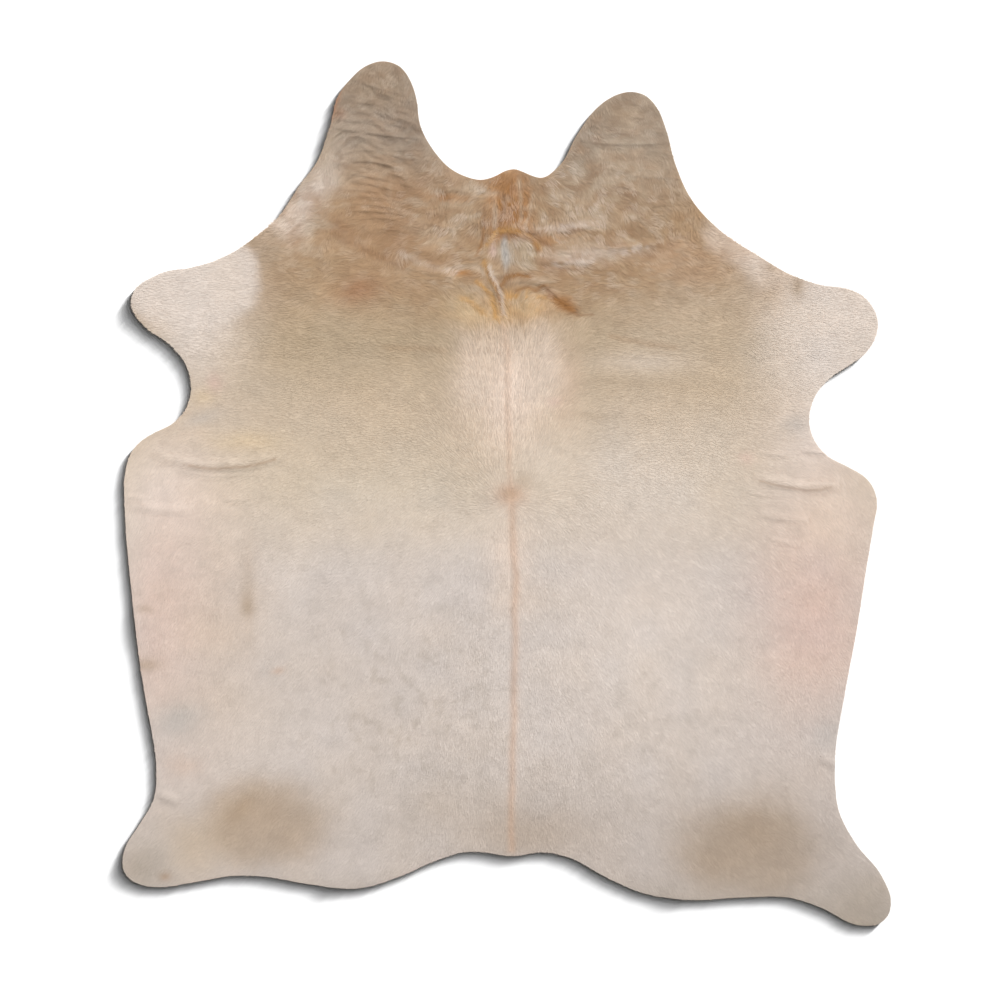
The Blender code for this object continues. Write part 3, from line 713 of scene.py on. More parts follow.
# %% The streaks
Streak = namedtuple("Streak", "name colour places width strength combs")
STREAKS = [Streak(*row) for row in [
    ("spine, hind part", "rose tan",
     [(0.010, -0.020), (0.022, -0.200), (0.018, -0.500), (0.014, -0.700), (0.012, -0.870)],
     0.0098, 0.44, 0.05),
    ("spine, fore part", "rose tan",
     [(0.010, 0.000), (0.008, 0.120), (0.002, 0.250), (-0.004, 0.400)], 0.008, 0.26, 0.05),
    ("long lock, upper", "gold",
     [(-0.056, 0.572), (-0.046, 0.535), (-0.028, 0.504)], 0.0055, 0.85, 0.9),
    ("long lock, lower", "gold",
     [(-0.070, 0.520), (-0.036, 0.482), (-0.024, 0.428)], 0.0060, 0.85, 0.9),
    ("long lock, dark line", "dark gold",
     [(-0.050, 0.548), (-0.030, 0.512), (-0.020, 0.470)], 0.0035, 0.75, 0.9),
    ("cowlick, dark left line", "dark gold",
     [(-0.055, 0.668), (-0.062, 0.625), (-0.072, 0.588)], 0.0045, 0.70, 0.8),
    ("cowlick, golden arch", "gold",
     [(-0.050, 0.615), (-0.030, 0.645), (0.010, 0.652), (0.050, 0.636), (0.078, 0.600)],
     0.0060, 0.75, 0.8),
    ("cowlick, right rim", "dark gold",
     [(0.016, 0.638), (0.058, 0.620), (0.076, 0.596)], 0.0050, 0.70, 0.8),
    ("cowlick, right shade", "brown",
     [(0.045, 0.645), (0.075, 0.622), (0.104, 0.612)], 0.0080, 0.80, 0.7),
    ("neck peak, dark strand", "brown",
     [(-0.006, 0.740), (-0.008, 0.700), (-0.014, 0.660)], 0.0060, 0.75, 0.7),
    ("neck peak, left strand", "brown",
     [(-0.054, 0.705), (-0.060, 0.660), (-0.058, 0.625)], 0.0055, 0.70, 0.7),
    ("neck peak, right strand", "sand",
     [(0.062, 0.735), (0.058, 0.700), (0.044, 0.655)], 0.0050, 0.50, 0.7),
    ("neck peak, dark middle", "umber",
     [(0.014, 0.764), (0.010, 0.715), (0.018, 0.668)], 0.0040, 0.50, 0.7),
    ("neck peak, golden strand", "sand",
     [(0.030, 0.772), (0.034, 0.720), (0.034, 0.670)], 0.0045, 0.50, 0.7),
    ("right neck, thin brown line", "brown",
     [(0.074, 0.644), (0.130, 0.652), (0.180, 0.648)], 0.0045, 0.55, 0.0),
    ("right neck, lower brown line", "brown",
     [(0.080, 0.555), (0.130, 0.553), (0.175, 0.556)], 0.0040, 0.50, 0.0),
    ("collar arch", "dark gold",
     [(-0.016, 0.502), (-0.002, 0.526), (0.024, 0.534), (0.050, 0.527)],
     0.0060, 0.85, 0.9),
    ("collar, second arch", "dark gold",
     [(0.018, 0.494), (0.048, 0.503), (0.070, 0.495), (0.090, 0.507), (0.100, 0.496)],
     0.0055, 0.75, 0.9),
    ("collar, under shade", "gold",
     [(0.000, 0.480), (0.040, 0.480), (0.085, 0.465)], 0.0180, 0.88, 0.0),
    ("collar, left strand", "gold",
     [(-0.110, 0.478), (-0.080, 0.462), (-0.055, 0.440)], 0.0060, 0.60, 0.8),
    ("long lock, white strand", "milk",
     [(-0.044, 0.560), (-0.020, 0.500), (-0.004, 0.435)], 0.0045, 0.45, 0.9),
    ("dark tuft", "umber",
     [(0.104, 0.486), (0.130, 0.465), (0.158, 0.448)], 0.0125, 0.85, 0.9),
    ("dark tuft, thin tail", "brown",
     [(0.160, 0.440), (0.182, 0.435), (0.204, 0.435)], 0.0040, 0.50, 0.6),
    ("left shoulder, upper brown streak", "brown",
     [(-0.420, 0.640), (-0.330, 0.590), (-0.250, 0.560)], 0.0120, 0.50, 0.5),
    ("left shoulder, pale streak", "milk",
     [(-0.260, 0.590), (-0.180, 0.560), (-0.120, 0.545)], 0.0080, 0.20, 0.5),
    ("left shoulder, low brown streak", "brown",
     [(-0.300, 0.360), (-0.220, 0.352), (-0.150, 0.345)], 0.0080, 0.20, 0.4),
    ("right shoulder, slanting line", "brown",
     [(0.253, 0.386), (0.326, 0.369), (0.407, 0.357)], 0.0080, 0.26, 0.3),
    ("left armpit, crease line", "brown",
     [(-0.788, 0.070), (-0.700, 0.057), (-0.634, 0.064), (-0.565, 0.080)],
     0.0032, 0.38, 0.05),
    ("right armpit, crease line", "brown",
     [(0.619, 0.032), (0.689, 0.014), (0.742, 0.008), (0.795, 0.016)], 0.0030, 0.32, 0.05),
    ("right pale tufts, long row", "milk",
     [(0.120, 0.566), (0.160, 0.573), (0.210, 0.571)], 0.0090, 0.50, 0.0),
    ("right pale tufts, outer row", "milk",
     [(0.270, 0.590), (0.310, 0.602), (0.340, 0.612)], 0.0080, 0.48, 0.0),
    ("right pale tufts, upper row", "milk",
     [(0.100, 0.650), (0.150, 0.664), (0.205, 0.660)], 0.0080, 0.38, 0.0),
]]
STREAK_DETAIL = 12


def streak_line(streak):
    """The streak's places joined by a soft curve, as many close points."""
    places = np.array(streak.places)
    shares = np.linspace(0, len(places) - 1, STREAK_DETAIL * (len(places) - 1) + 1)
    corners = np.arange(len(places))
    line = np.stack([np.interp(shares, corners, places[:, k]) for k in (0, 1)], axis=1)
    for _ in range(STREAK_DETAIL // 2):
        line[1:-1] = (line[:-2] + 2 * line[1:-1] + line[2:]) / 4
    return line


def on_streak(streak, places):
    """How much of a streak each place has, and the way the streak runs there."""
    line = streak_line(streak)
    share = np.zeros(len(places))
    way = np.zeros((len(places), 2))
    low = line.min(axis=0) - 3 * streak.width
    high = line.max(axis=0) + 3 * streak.width
    close = np.flatnonzero(((places > low) & (places < high)).all(axis=1))
    if not len(close):
        return share, way
    spots = places[close]
    nearest = np.full(len(spots), np.inf)
    for one, other in zip(line[:-1], line[1:]):
        step = other - one
        along = np.clip((spots - one) @ step / (step @ step), 0, 1)
        gap = np.hypot(*(spots - one - along[:, None] * step).T)
        better = gap < nearest
        nearest[better] = gap[better]
        way[close[better]] = step / np.hypot(*step)
    share[close] = np.exp(-(nearest / streak.width) ** 2)
    return share, way


print("streaks", len(STREAKS))

# %% [markdown]
# ## One colour for every place
# Ground, markings and streaks are laid over each other. Before that every place is nudged by
# a few millimetres of soft noise, so that no marking keeps the outline of an oval. Mottling in
# three sizes follows: hair that lies a little differently looks lighter or darker. Beside the
# creases and in the crinkles' valleys the colour gets painted shade, which also stands for the
# darker roots that show where the hair parts.

# %% Mix the coat's colour
NUDGES = [(0.070, 0.012, 21), (0.022, 0.005, 23)]
MOTTLES = [(0.020, 0.070, 31, 1.6), (0.019, 0.030, 32, 1.0), (0.008, 0.012, 33, 1.0)]
NECK_MOTTLING = 1.4
PATCH_NOISE = [(1.0, 0.020, 51, 1.0), (1.0, 0.009, 52, 1.0)]
PATCH_LEVEL = 0.45
PATCH_CONTRAST = 1.5
BAND_NOISE = [(1.0, 0.010, 61, 2.2), (1.0, 0.024, 62, 1.8)]
BAND_WAVES = [(0.018, 0.045, 63, 1.0)]
BAND_STRENGTH = 0.40
CALM_NOISE = 0.1
# Painted shade at the lee foot of steep creases, which also stands for the darker roots where hair
# parts.
PAINTED_SHADE_AT = -0.70
PAINTED_SHADE_WIDTH = 0.0019
PAINTED_SHADE_DEPTH = 0.16
PAINTED_SHADE_NOISE = [(0.8, 0.018, 54, 1.0)]
PAINTED_SHADE_LEVEL = 0.65
# Painted shade in the crinkles' valleys, which also stands for the darker roots where hair parts.
CRINKLE_PAINTED_SHADE = 0.40
SHALLOW_CRINKLE = 0.02
GENTLE_FOLD = 0.12
STEEP_FOLD = 0.27
SMALL_MARKING = 0.035
FAR_OUT = 2.6
DAPPLE_NOISE = [(1.0, 0.024, 81, 0.8), (1.0, 0.012, 82, 1.0)]
DAPPLES = [((-0.260, -0.520), (0.270, 0.320), 0.38), ((0.300, -0.600), (0.300, 0.200), 0.20),
           ((-0.740, -0.240), (0.140, 0.300), 0.20)]
WARMTH_NOISE = [(1.0, 0.085, 71, 1.0)]
WARMTH = np.array([0.012, 0.0, -0.018])


def nudged(places):
    """The places, each moved a little by soft noise."""
    moved = places.copy()
    for pitch, size, seed in NUDGES:
        moved[:, 0] += size * soft_noise(places, pitch, seed)
        moved[:, 1] += size * soft_noise(places, pitch, seed + 1)
    return moved


def patchy(places):
    """One here and nothing there, in tuft-sized patches."""
    return np.clip(PATCH_LEVEL + PATCH_CONTRAST * layered(places, PATCH_NOISE), 0, 1)


def neck_bands(places, colour):
    """Level bands of browner and paler hair on the neck and the hump, where it lies in rolls."""
    waved = places.copy()
    waved[:, 1] += layered(places, BAND_WAVES)
    level = layered(waved, BAND_NOISE)
    share = BAND_STRENGTH * tuft_share(places) * np.clip(np.abs(level) - CALM_NOISE, 0, 1)
    towards = np.where(level[:, None] > 0, linear(HAIR["oat"]), linear(HAIR["brown"]))
    return colour + share[:, None] * (towards - colour)


def dappled(places, colour):
    """Greyer blotches on the back, where the coat is rubbed the wrong way."""
    level = layered(places, DAPPLE_NOISE)
    for centre, reach, strength in DAPPLES:
        share = strength * nearness(places, centre, reach) * np.clip(level - CALM_NOISE, 0, 1)
        colour = colour + share[:, None] * (linear(HAIR["smoke"]) - colour)
    return colour


def painted_crease_shade(places):
    """Painted shade at the lee foot of steep creases and in crinkle valleys, with the darker roots where
    hair parts.
    """
    shade = np.ones(len(places))
    uneven = np.clip(PAINTED_SHADE_LEVEL + layered(places, PAINTED_SHADE_NOISE), 0, 1)
    for fold in FOLDS + FINE_CREASES:
        steep = (fold.rise / fold.spread - GENTLE_FOLD) / (STEEP_FOLD - GENTLE_FOLD)
        if steep > 0:
            close, along, across = on_fold(fold, places)
            line = np.exp(-((across - PAINTED_SHADE_AT) * fold.spread / PAINTED_SHADE_WIDTH) ** 2)
            depth = PAINTED_SHADE_DEPTH * min(steep, 1.0)
            shade[close] -= depth * line * uneven[close] * np.sqrt(np.sin(math.pi * along))
    # Painted shade in the crinkles' valleys is taken off last.
    return shade - CRINKLE_PAINTED_SHADE * np.clip(-crinkles(places) - SHALLOW_CRINKLE, 0, 1)


def coat_colour(places):
    """The colour of the coat at each place, as light amounts."""
    spots = nudged(places)
    colour = np.stack(
        [np.interp(spots[:, 1], stations, ground_colours[:, k]) for k in range(3)], axis=1)
    fine_spots = places + (spots - places) / 3
    for marking in MARKINGS:
        at = fine_spots if min(marking.reach) < SMALL_MARKING else spots
        far = FAR_OUT * max(marking.reach)
        close = np.flatnonzero((np.abs(at - marking.centre) < far).all(axis=1))
        share = marking.strength * nearness(
            at[close], marking.centre, marking.reach, marking.turn, marking.firm)
        colour[close] += share[:, None] * (linear(HAIR[marking.colour]) - colour[close])
    colour = dappled(spots, neck_bands(places, colour))
    broken = patchy(places)
    for streak in STREAKS:
        share = streak.strength * on_streak(streak, fine_spots)[0]
        share *= 1.0 if streak.combs else broken
        colour += share[:, None] * (linear(HAIR[streak.colour]) - colour)
    warmth = layered(places, WARMTH_NOISE)[:, None] * WARMTH
    shade = 1 + layered(places, MOTTLES) * (1 + NECK_MOTTLING * neck_share(places))
    return colour * (shade[:, None] + warmth)


print("mean coat colour", coat_colour(hair_side).mean(axis=0).round(3))

# %% [markdown]
# ## The way the hair lies
# On cattle the hair runs back from a whorl behind the shoulders and forward from it into the
# mane, out over the ribs, and down the legs. A groomer would comb it with a brush. Here a few
# guides say which way the hair lies around them, as an angle, and every hair follows the
# guides near it. The right half is given and the left half mirrors it.

# %% The guides
Guide = namedtuple("Guide", "name place angle reach")
GUIDES = [Guide(*row) for row in [
    ("neck, middle", (0.02, 0.70), -84, 0.08),
    ("neck, side", (0.16, 0.70), -50, 0.10),
    ("neck, outer side", (0.36, 0.68), -35, 0.12),
    ("flap, root", (0.32, 0.82), -70, 0.12),
    ("flap, tip", (0.31, 0.97), -80, 0.10),
    ("cowlick, above", (0.02, 0.62), -88, 0.05),
    ("cowlick, beside", (0.09, 0.56), -30, 0.06),
    ("collar", (0.05, 0.47), 70, 0.06),
    ("collar, outer", (0.15, 0.44), 20, 0.07),
    ("mane, upper", (0.03, 0.38), 84, 0.09),
    ("mane, middle", (0.03, 0.22), 88, 0.10),
    ("mane, lower", (0.03, 0.06), 86, 0.07),
    ("mane, upper fan", (0.13, 0.34), 56, 0.08),
    ("mane, lower fan", (0.12, 0.16), 62, 0.08),
    ("mane, foot of the fan", (0.10, 0.03), 40, 0.06),
    ("shoulder, inner", (0.27, 0.34), 4, 0.12),
    ("shoulder, outer", (0.50, 0.38), -8, 0.16),
    ("shoulder, lower", (0.30, 0.16), 2, 0.12),
    ("fore leg", (0.78, 0.42), -4, 0.16),
    ("armpit", (0.62, 0.12), -18, 0.16),
    ("whorl, beside", (0.07, -0.01), -12, 0.04),
    ("back, by the spine", (0.04, -0.12), -82, 0.08),
    ("back, middle", (0.05, -0.40), -84, 0.14),
    ("back, hind", (0.05, -0.72), -86, 0.14),
    ("ribs, upper", (0.24, -0.10), -42, 0.14),
    ("ribs, lower", (0.24, -0.40), -58, 0.16),
    ("belly, upper", (0.52, -0.12), -34, 0.16),
    ("belly, lower", (0.54, -0.42), -56, 0.18),
    ("flank, upper", (0.80, -0.14), -62, 0.16),
    ("flank, lower", (0.80, -0.46), -72, 0.16),
    ("thigh", (0.42, -0.76), -58, 0.16),
    ("rump cloud", (0.62, -0.80), -40, 0.12),
    ("hind leg", (0.84, -0.92), -46, 0.14),
]]
COMB_NOISE = [(1.0, 0.055, 41, 1.0), (0.8, 0.024, 42, 1.0)]
SPINE_AT = 0.008
TINY = 1e-9
SWING_BODY = math.radians(11)
SWING_NECK = math.radians(30)


def hair_way(places):
    """A level unit vector along the hair at each place."""
    side = np.where(places[:, 0] < SPINE_AT, -1.0, 1.0)
    mirrored = np.stack([np.abs(places[:, 0] - SPINE_AT), places[:, 1]], axis=1)
    way = np.zeros_like(places)
    for guide in GUIDES:
        weight = nearness(mirrored, guide.place, (guide.reach, guide.reach)) + TINY
        way[:, 0] += weight * math.cos(math.radians(guide.angle))
        way[:, 1] += weight * math.sin(math.radians(guide.angle))
    way[:, 0] *= side
    way /= np.hypot(way[:, 0], way[:, 1])[:, None] + TINY
    for streak in STREAKS:
        if streak.combs:
            share, along = on_streak(streak, places)
            share = np.sqrt(share)[:, None] * streak.combs
            way = way * (1 - share) + along * share
    swing = SWING_BODY + (SWING_NECK - SWING_BODY) * neck_share(places)
    turn = swing * layered(places, COMB_NOISE)
    c, s = np.cos(turn), np.sin(turn)
    turned = np.stack([way[:, 0] * c - way[:, 1] * s, way[:, 0] * s + way[:, 1] * c], axis=1)
    return turned / (np.hypot(turned[:, 0], turned[:, 1])[:, None] + TINY)


print("guides", len(GUIDES))

# %% How long each hair is
BODY_HAIR = 0.016
NECK_HAIR_MORE = 0.35
HUMP_HAIR_MORE = 0.20
MANE_HAIR_MORE = 0.45
MANE = (0.01, 0.26)
MANE_REACH = (0.14, 0.22)
FLAPS = [(-0.34, 0.90), (0.31, 0.88), (-0.32, 0.72)]
FLAP_REACH = (0.14, 0.14)
FLAP_HAIR_LESS = 0.85
OVERHANG = 0.0015
SHORTEST = 0.15
LEAST_OUTWARD = 0.45
LOOK_AHEAD = 0.006


def hair_scale(places, edge_gaps, ways):
    """The hair's length as a share of BODY_HAIR; near the edge none hangs far over it."""
    longer = (
        1 + NECK_HAIR_MORE * neck_share(places)
        - sum(nearness(places, flap, FLAP_REACH) for flap in FLAPS) * FLAP_HAIR_LESS
        + HUMP_HAIR_MORE * nearness(places, HUMP, (HUMP_COAT_SPREAD, HUMP_COAT_SPREAD))
        + MANE_HAIR_MORE * nearness(places, MANE, MANE_REACH))
    ahead = places + ways * LOOK_AHEAD
    outward = np.clip((edge_gaps - edge_gap(ahead)) / LOOK_AHEAD, 0, 1)
    room = (edge_gaps + OVERHANG) / np.maximum(outward, LEAST_OUTWARD) / BODY_HAIR
    return np.clip(np.minimum(longer, room), SHORTEST, None)


hair_side_way = hair_way(hair_side)
hair_side_scale = hair_scale(hair_side, hair_side_gap, hair_side_way)
print("hair length from", round(1000 * BODY_HAIR * float(hair_side_scale.min()), 1),
      "to", round(1000 * BODY_HAIR * float(hair_side_scale.max()), 1), "mm")

# %% [markdown]
# ## Effects that the materials share
# Two effects turn up in more than one finish, so each is a node group. The first is mottling,
# uneven light and dark at two sizes. The second is the tone of a strand: darker at its root,
# paler at its tip, and a little different from its neighbours.

# %% Small helpers for node trees
def add_node(tree, kind, **settings):
    """A new node with its settings."""
    node = tree.nodes.new(kind)
    for key, value in settings.items():
        setattr(node, key, value)
    return node


def plug(tree, source, target):
    """Links a socket to a socket, or sets a plain value on it."""
    if isinstance(source, bpy.types.NodeSocket):
        tree.links.new(source, target)
    else:
        target.default_value = source


def maths(tree, operation, first, second=0.0, third=0.0):
    """A Math node's result; each input is a socket or a number."""
    node = add_node(tree, "ShaderNodeMath", operation=operation)
    for source, target in zip((first, second, third), node.inputs):
        plug(tree, source, target)
    return node.outputs[0]


def vector_maths(tree, operation, first, second=(0.0, 0.0, 0.0), scale=None):
    """A Vector Math node's result; each input is a socket or a vector."""
    node = add_node(tree, "ShaderNodeVectorMath", operation=operation)
    plug(tree, first, node.inputs[0])
    if scale is None:
        plug(tree, second, node.inputs[1])
    else:
        plug(tree, scale, node.inputs["Scale"])
    return node.outputs["Value" if operation == "DOT_PRODUCT" else "Vector"]


def new_group(name, inputs, outputs):
    """An empty shader node group with named sockets, and its two end nodes."""
    group = bpy.data.node_groups.new(name, "ShaderNodeTree")
    for label, kind, value in inputs:
        socket = group.interface.new_socket(label, in_out="INPUT", socket_type=kind)
        socket.default_value = value
    for label, kind in outputs:
        group.interface.new_socket(label, in_out="OUTPUT", socket_type=kind)
    return group, add_node(group, "NodeGroupInput"), add_node(group, "NodeGroupOutput")


print("helpers ready")

# %% The mottling group
def make_mottle_group():
    """Two sizes of soft noise around one, to multiply a colour or a height with."""
    group, given, result = new_group(
        "mottling",
        [("Place", "NodeSocketVector", (0.0, 0.0, 0.0)),
         ("Wide pitch", "NodeSocketFloat", 14.0),
         ("Fine pitch", "NodeSocketFloat", 160.0),
         ("Wide strength", "NodeSocketFloat", 0.1),
         ("Fine strength", "NodeSocketFloat", 0.1)],
        [("Factor", "NodeSocketFloat"), ("Fine", "NodeSocketFloat")])
    total = 1.0
    for size in ("Wide", "Fine"):
        noise = add_node(group, "ShaderNodeTexNoise")
        noise.inputs["Detail"].default_value = 3.0
        plug(group, given.outputs["Place"], noise.inputs["Vector"])
        plug(group, given.outputs[f"{size} pitch"], noise.inputs["Scale"])
        centred = maths(group, "SUBTRACT", noise.outputs["Fac"], 0.5)
        total = maths(
            group, "MULTIPLY_ADD", centred, given.outputs[f"{size} strength"], total)
    plug(group, total, result.inputs["Factor"])
    plug(group, noise.outputs["Fac"], result.inputs["Fine"])
    return group


mottling = make_mottle_group()
print("group", mottling.name)

# %% The strand tone group
HAIR_ROUGHNESS = 0.52
ROUGHNESS_SPREAD = 0.18


def make_strand_group():
    """A strand's colour from the coat's colour, and its roughness."""
    group, given, result = new_group(
        "strand tone",
        [("Coat", "NodeSocketColor", (0.5, 0.4, 0.3, 1.0)),
         ("Mottle", "NodeSocketFloat", 1.0),
         ("Along", "NodeSocketFloat", 0.5),
         ("Hair", "NodeSocketFloat", 0.5),
         ("Tuft", "NodeSocketFloat", 0.5),
         ("Root shade", "NodeSocketFloat", 0.8),
         ("Tip shade", "NodeSocketFloat", 1.1),
         ("Hair spread", "NodeSocketFloat", 0.2),
         ("Tuft spread", "NodeSocketFloat", 0.1)],
        [("Colour", "NodeSocketColor"), ("Roughness", "NodeSocketFloat")])
    blend = add_node(group, "ShaderNodeMapRange")
    plug(group, given.outputs["Along"], blend.inputs["Value"])
    plug(group, given.outputs["Root shade"], blend.inputs["To Min"])
    plug(group, given.outputs["Tip shade"], blend.inputs["To Max"])
    shade = maths(group, "MULTIPLY", blend.outputs["Result"], given.outputs["Mottle"])
    for label in ("Hair", "Tuft"):
        centred = maths(group, "SUBTRACT", given.outputs[label], 0.5)
        factor = maths(group, "MULTIPLY_ADD", centred, given.outputs[f"{label} spread"], 1.0)
        shade = maths(group, "MULTIPLY", shade, factor)
    tinted = vector_maths(group, "SCALE", given.outputs["Coat"], scale=shade)
    plug(group, tinted, result.inputs["Colour"])
    rough = maths(group, "MULTIPLY_ADD", given.outputs["Hair"], ROUGHNESS_SPREAD, HAIR_ROUGHNESS)
    plug(group, rough, result.inputs["Roughness"])
    return group


strand_tone = make_strand_group()
print("group", strand_tone.name)

# %% [markdown]
# ## The finishes
# Four finishes are enough: the lying hair, the hair stubble on the skin between the strands,
# the suede of the flesh side and the pale cut of the leather. The stubble is painted a little
# darker than the strands, as the shade deep in the coat. Hair could use the special hair
# shader, but only for true hair curves. A rough Principled shader with a trace of sheen looks
# the same at this distance and can be baked.

# %% A material with a mottle group in it
FAINT_GLOSS = 0.25


def new_finish(name, sheen=0.0):
    """A material, its tree, its shader and its place on the object."""
    material = bpy.data.materials.new(name)
    material.use_nodes = True
    tree = material.node_tree
    shader = tree.nodes["Principled BSDF"]
    shader.inputs["Specular IOR Level"].default_value = FAINT_GLOSS
    shader.inputs["Sheen Weight"].default_value = sheen
    place = add_node(tree, "ShaderNodeTexCoord").outputs["Object"]
    return material, tree, shader, place


def add_group(tree, group, **values):
    """A group in a material; each value is a socket or a number for the input of that name."""
    node = add_node(tree, "ShaderNodeGroup", node_tree=group)
    for label, value in values.items():
        plug(tree, value, node.inputs[label.replace("_", " ")])
    return node


def add_bump(tree, shader, height, strength, distance):
    """A Bump node between a height and the shader's normal."""
    bump = add_node(tree, "ShaderNodeBump")
    bump.inputs["Strength"].default_value = strength
    bump.inputs["Distance"].default_value = distance
    plug(tree, height, bump.inputs["Height"])
    plug(tree, bump.outputs["Normal"], shader.inputs["Normal"])


def named_value(tree, name, output="Fac"):
    """A value that the piece's mesh carries under a name."""
    return add_node(tree, "ShaderNodeAttribute", attribute_name=name).outputs[output]


print("finish helpers ready")

# %% The hair, and the stubble between the strands
WIDE_MOTTLE = 26.0
WIDE_MOTTLING = 0.14
STUBBLE_ALONG = 0.3
MIDDLE = 0.5


def make_hair(name, sheen, lying, fine_pitch, fine_strength, bump, **shades):
    """Hair in the coat's colour: lying strands, or the stubble between them, darkened as painted shade.
    """
    material, tree, shader, place = new_finish(name, sheen)
    mottle = add_group(
        tree, mottling, Place=place, Wide_pitch=WIDE_MOTTLE, Fine_pitch=fine_pitch,
        Wide_strength=WIDE_MOTTLING, Fine_strength=fine_strength)
    strand = {"Along": STUBBLE_ALONG, "Hair": mottle.outputs["Fine"], "Tuft": MIDDLE}
    if lying:
        strand = {label: named_value(tree, label.lower()) for label in strand}
    tone = add_group(
        tree, strand_tone, Coat=named_value(tree, "coat", "Color"),
        Mottle=mottle.outputs["Factor"], **strand, **shades)
    plug(tree, tone.outputs["Colour"], shader.inputs["Base Color"])
    plug(tree, tone.outputs["Roughness"], shader.inputs["Roughness"])
    add_bump(tree, shader, mottle.outputs["Fine"], *bump)
    return material


hair_finish = make_hair(
    "lying hair", 0.08, True, fine_pitch=210.0, fine_strength=0.08, bump=(0.15, 0.0005),
    Root_shade=0.94, Tip_shade=1.04, Hair_spread=0.06, Tuft_spread=0.05)
# The stubble takes the darker tone near a strand's root: painted shade of the coat lying over it.
stubble_finish = make_hair(
    "stubble on the skin", 0.05, False, fine_pitch=520.0, fine_strength=0.30,
    bump=(0.6, 0.0010), Root_shade=0.86, Tip_shade=1.05, Hair_spread=0.20, Tuft_spread=0.0)
print("finishes", hair_finish.name, "and", stubble_finish.name)

# %% The flesh side and the cut edge
SUEDE = (196, 182, 162)
SUEDE_STAIN = (170, 150, 124)
CUT = (214, 198, 176)
CUT_DARK = (160, 138, 112)
LEATHER_ROUGHNESS = 0.75
LEATHER_SPREAD = 0.2
MIX_SHARE, MIX_DARK, MIX_PALE, MIX_RESULT = 0, 6, 7, 2


def make_leather(name, pale, dark, wide_pitch, fine_pitch, nap):
    """Bare leather between two colours, with a nap."""
    material, tree, shader, place = new_finish(name, sheen=0.15)
    mottle = add_group(
        tree, mottling, Place=place, Wide_pitch=wide_pitch, Fine_pitch=fine_pitch,
        Wide_strength=1.3, Fine_strength=0.9)
    blend = add_node(tree, "ShaderNodeMix", data_type="RGBA")
    plug(tree, maths(tree, "SUBTRACT", mottle.outputs["Factor"], MIDDLE), blend.inputs[MIX_SHARE])
    plug(tree, (*linear(dark), 1.0), blend.inputs[MIX_DARK])
    plug(tree, (*linear(pale), 1.0), blend.inputs[MIX_PALE])
    plug(tree, blend.outputs[MIX_RESULT], shader.inputs["Base Color"])
    rough = maths(tree, "MULTIPLY_ADD", mottle.outputs["Fine"], LEATHER_SPREAD, LEATHER_ROUGHNESS)
    plug(tree, rough, shader.inputs["Roughness"])
    add_bump(tree, shader, mottle.outputs["Fine"], 0.5, nap)
    return material


suede_finish = make_leather("suede of the flesh side", SUEDE, SUEDE_STAIN, 9.0, 420.0, 0.0008)
cut_finish = make_leather("cut leather", CUT, CUT_DARK, 60.0, 900.0, 0.0004)
print("finishes", suede_finish.name, "and", cut_finish.name)

# %% [markdown]
# ## Join the sheet
# The two sides share no points, so the wall between them is built edge by edge. The flesh
# side's triangles are turned over, so that every face points out of the leather. The sheet
# gets its own flat map: both sides lie side by side as seen from above, and the wall is a
# strip in rows over them.

# %% Build the closed leather sheet
MAP_SCALE = 0.262
MAP_MARGIN = 0.004
FLESH_SIDE_SHIFT = 0.5
WALL_ROWS = 4
WALL_ROW_HEIGHT = 0.012
HAIR_SLOT, SUEDE_SLOT, CUT_SLOT = 0, 1, 2


def sheet_faces():
    """The corners of all triangles of the sheet, and the finish of each."""
    count = len(hair_side)
    top = hair_rim
    low = flesh_rim + count
    top_next, low_next = np.roll(top, -1), np.roll(low, -1)
    wall = np.concatenate([
        np.stack([top, low, low_next], axis=1),
        np.stack([top, low_next, top_next], axis=1)])
    faces = np.concatenate([hair_faces, flesh_faces[:, ::-1] + count, wall])
    finishes = np.repeat(
        [HAIR_SLOT, SUEDE_SLOT, CUT_SLOT], [len(hair_faces), len(flesh_faces), len(wall)])
    return faces, finishes, len(wall) // 2


def mesh_from(name, places, faces):
    """A mesh of triangles, made without a slow list for each face."""
    mesh = bpy.data.meshes.new(name)
    mesh.vertices.add(len(places))
    mesh.vertices.foreach_set("co", places.astype(np.float32).ravel())
    mesh.loops.add(faces.size)
    mesh.loops.foreach_set("vertex_index", faces.astype(np.int32).ravel())
    mesh.polygons.add(len(faces))
    mesh.polygons.foreach_set("loop_start", np.arange(0, faces.size, 3, dtype=np.int32))
    mesh.update(calc_edges=True)
    return mesh


def set_values(mesh, name, kind, values):
    """A named value on each point of a mesh."""
    layer = mesh.attributes.new(name, kind, "POINT")
    field = {"FLOAT": "value", "FLOAT_VECTOR": "vector", "FLOAT_COLOR": "color"}[kind]
    layer.data.foreach_set(field, np.ascontiguousarray(values, dtype=np.float32).ravel())


def with_alpha(colours):
    """Colours with a full fourth channel."""
    return np.concatenate([colours, np.ones((len(colours), 1))], axis=1)


sheet_places = np.concatenate([
    np.column_stack([hair_side, hair_side_z]), np.column_stack([flesh_side, flesh_side_z])])
faces, finishes, wall_steps = sheet_faces()
skin_mesh = mesh_from("hide_skin", sheet_places, faces)
skin_mesh.polygons.foreach_set("material_index", finishes.astype(np.int32))
sheet_colours = coat_colour(sheet_places[:, :2])
# Painted shade along the creases and in the crinkles' valleys, darkening the sheet's colour.
sheet_colours *= painted_crease_shade(sheet_places[:, :2])[:, None]
set_values(skin_mesh, "coat", "FLOAT_COLOR", with_alpha(sheet_colours))
print("sheet triangles", len(faces))

# %% Lay out the sheet's own map
SHARP_ANGLE = math.radians(50)


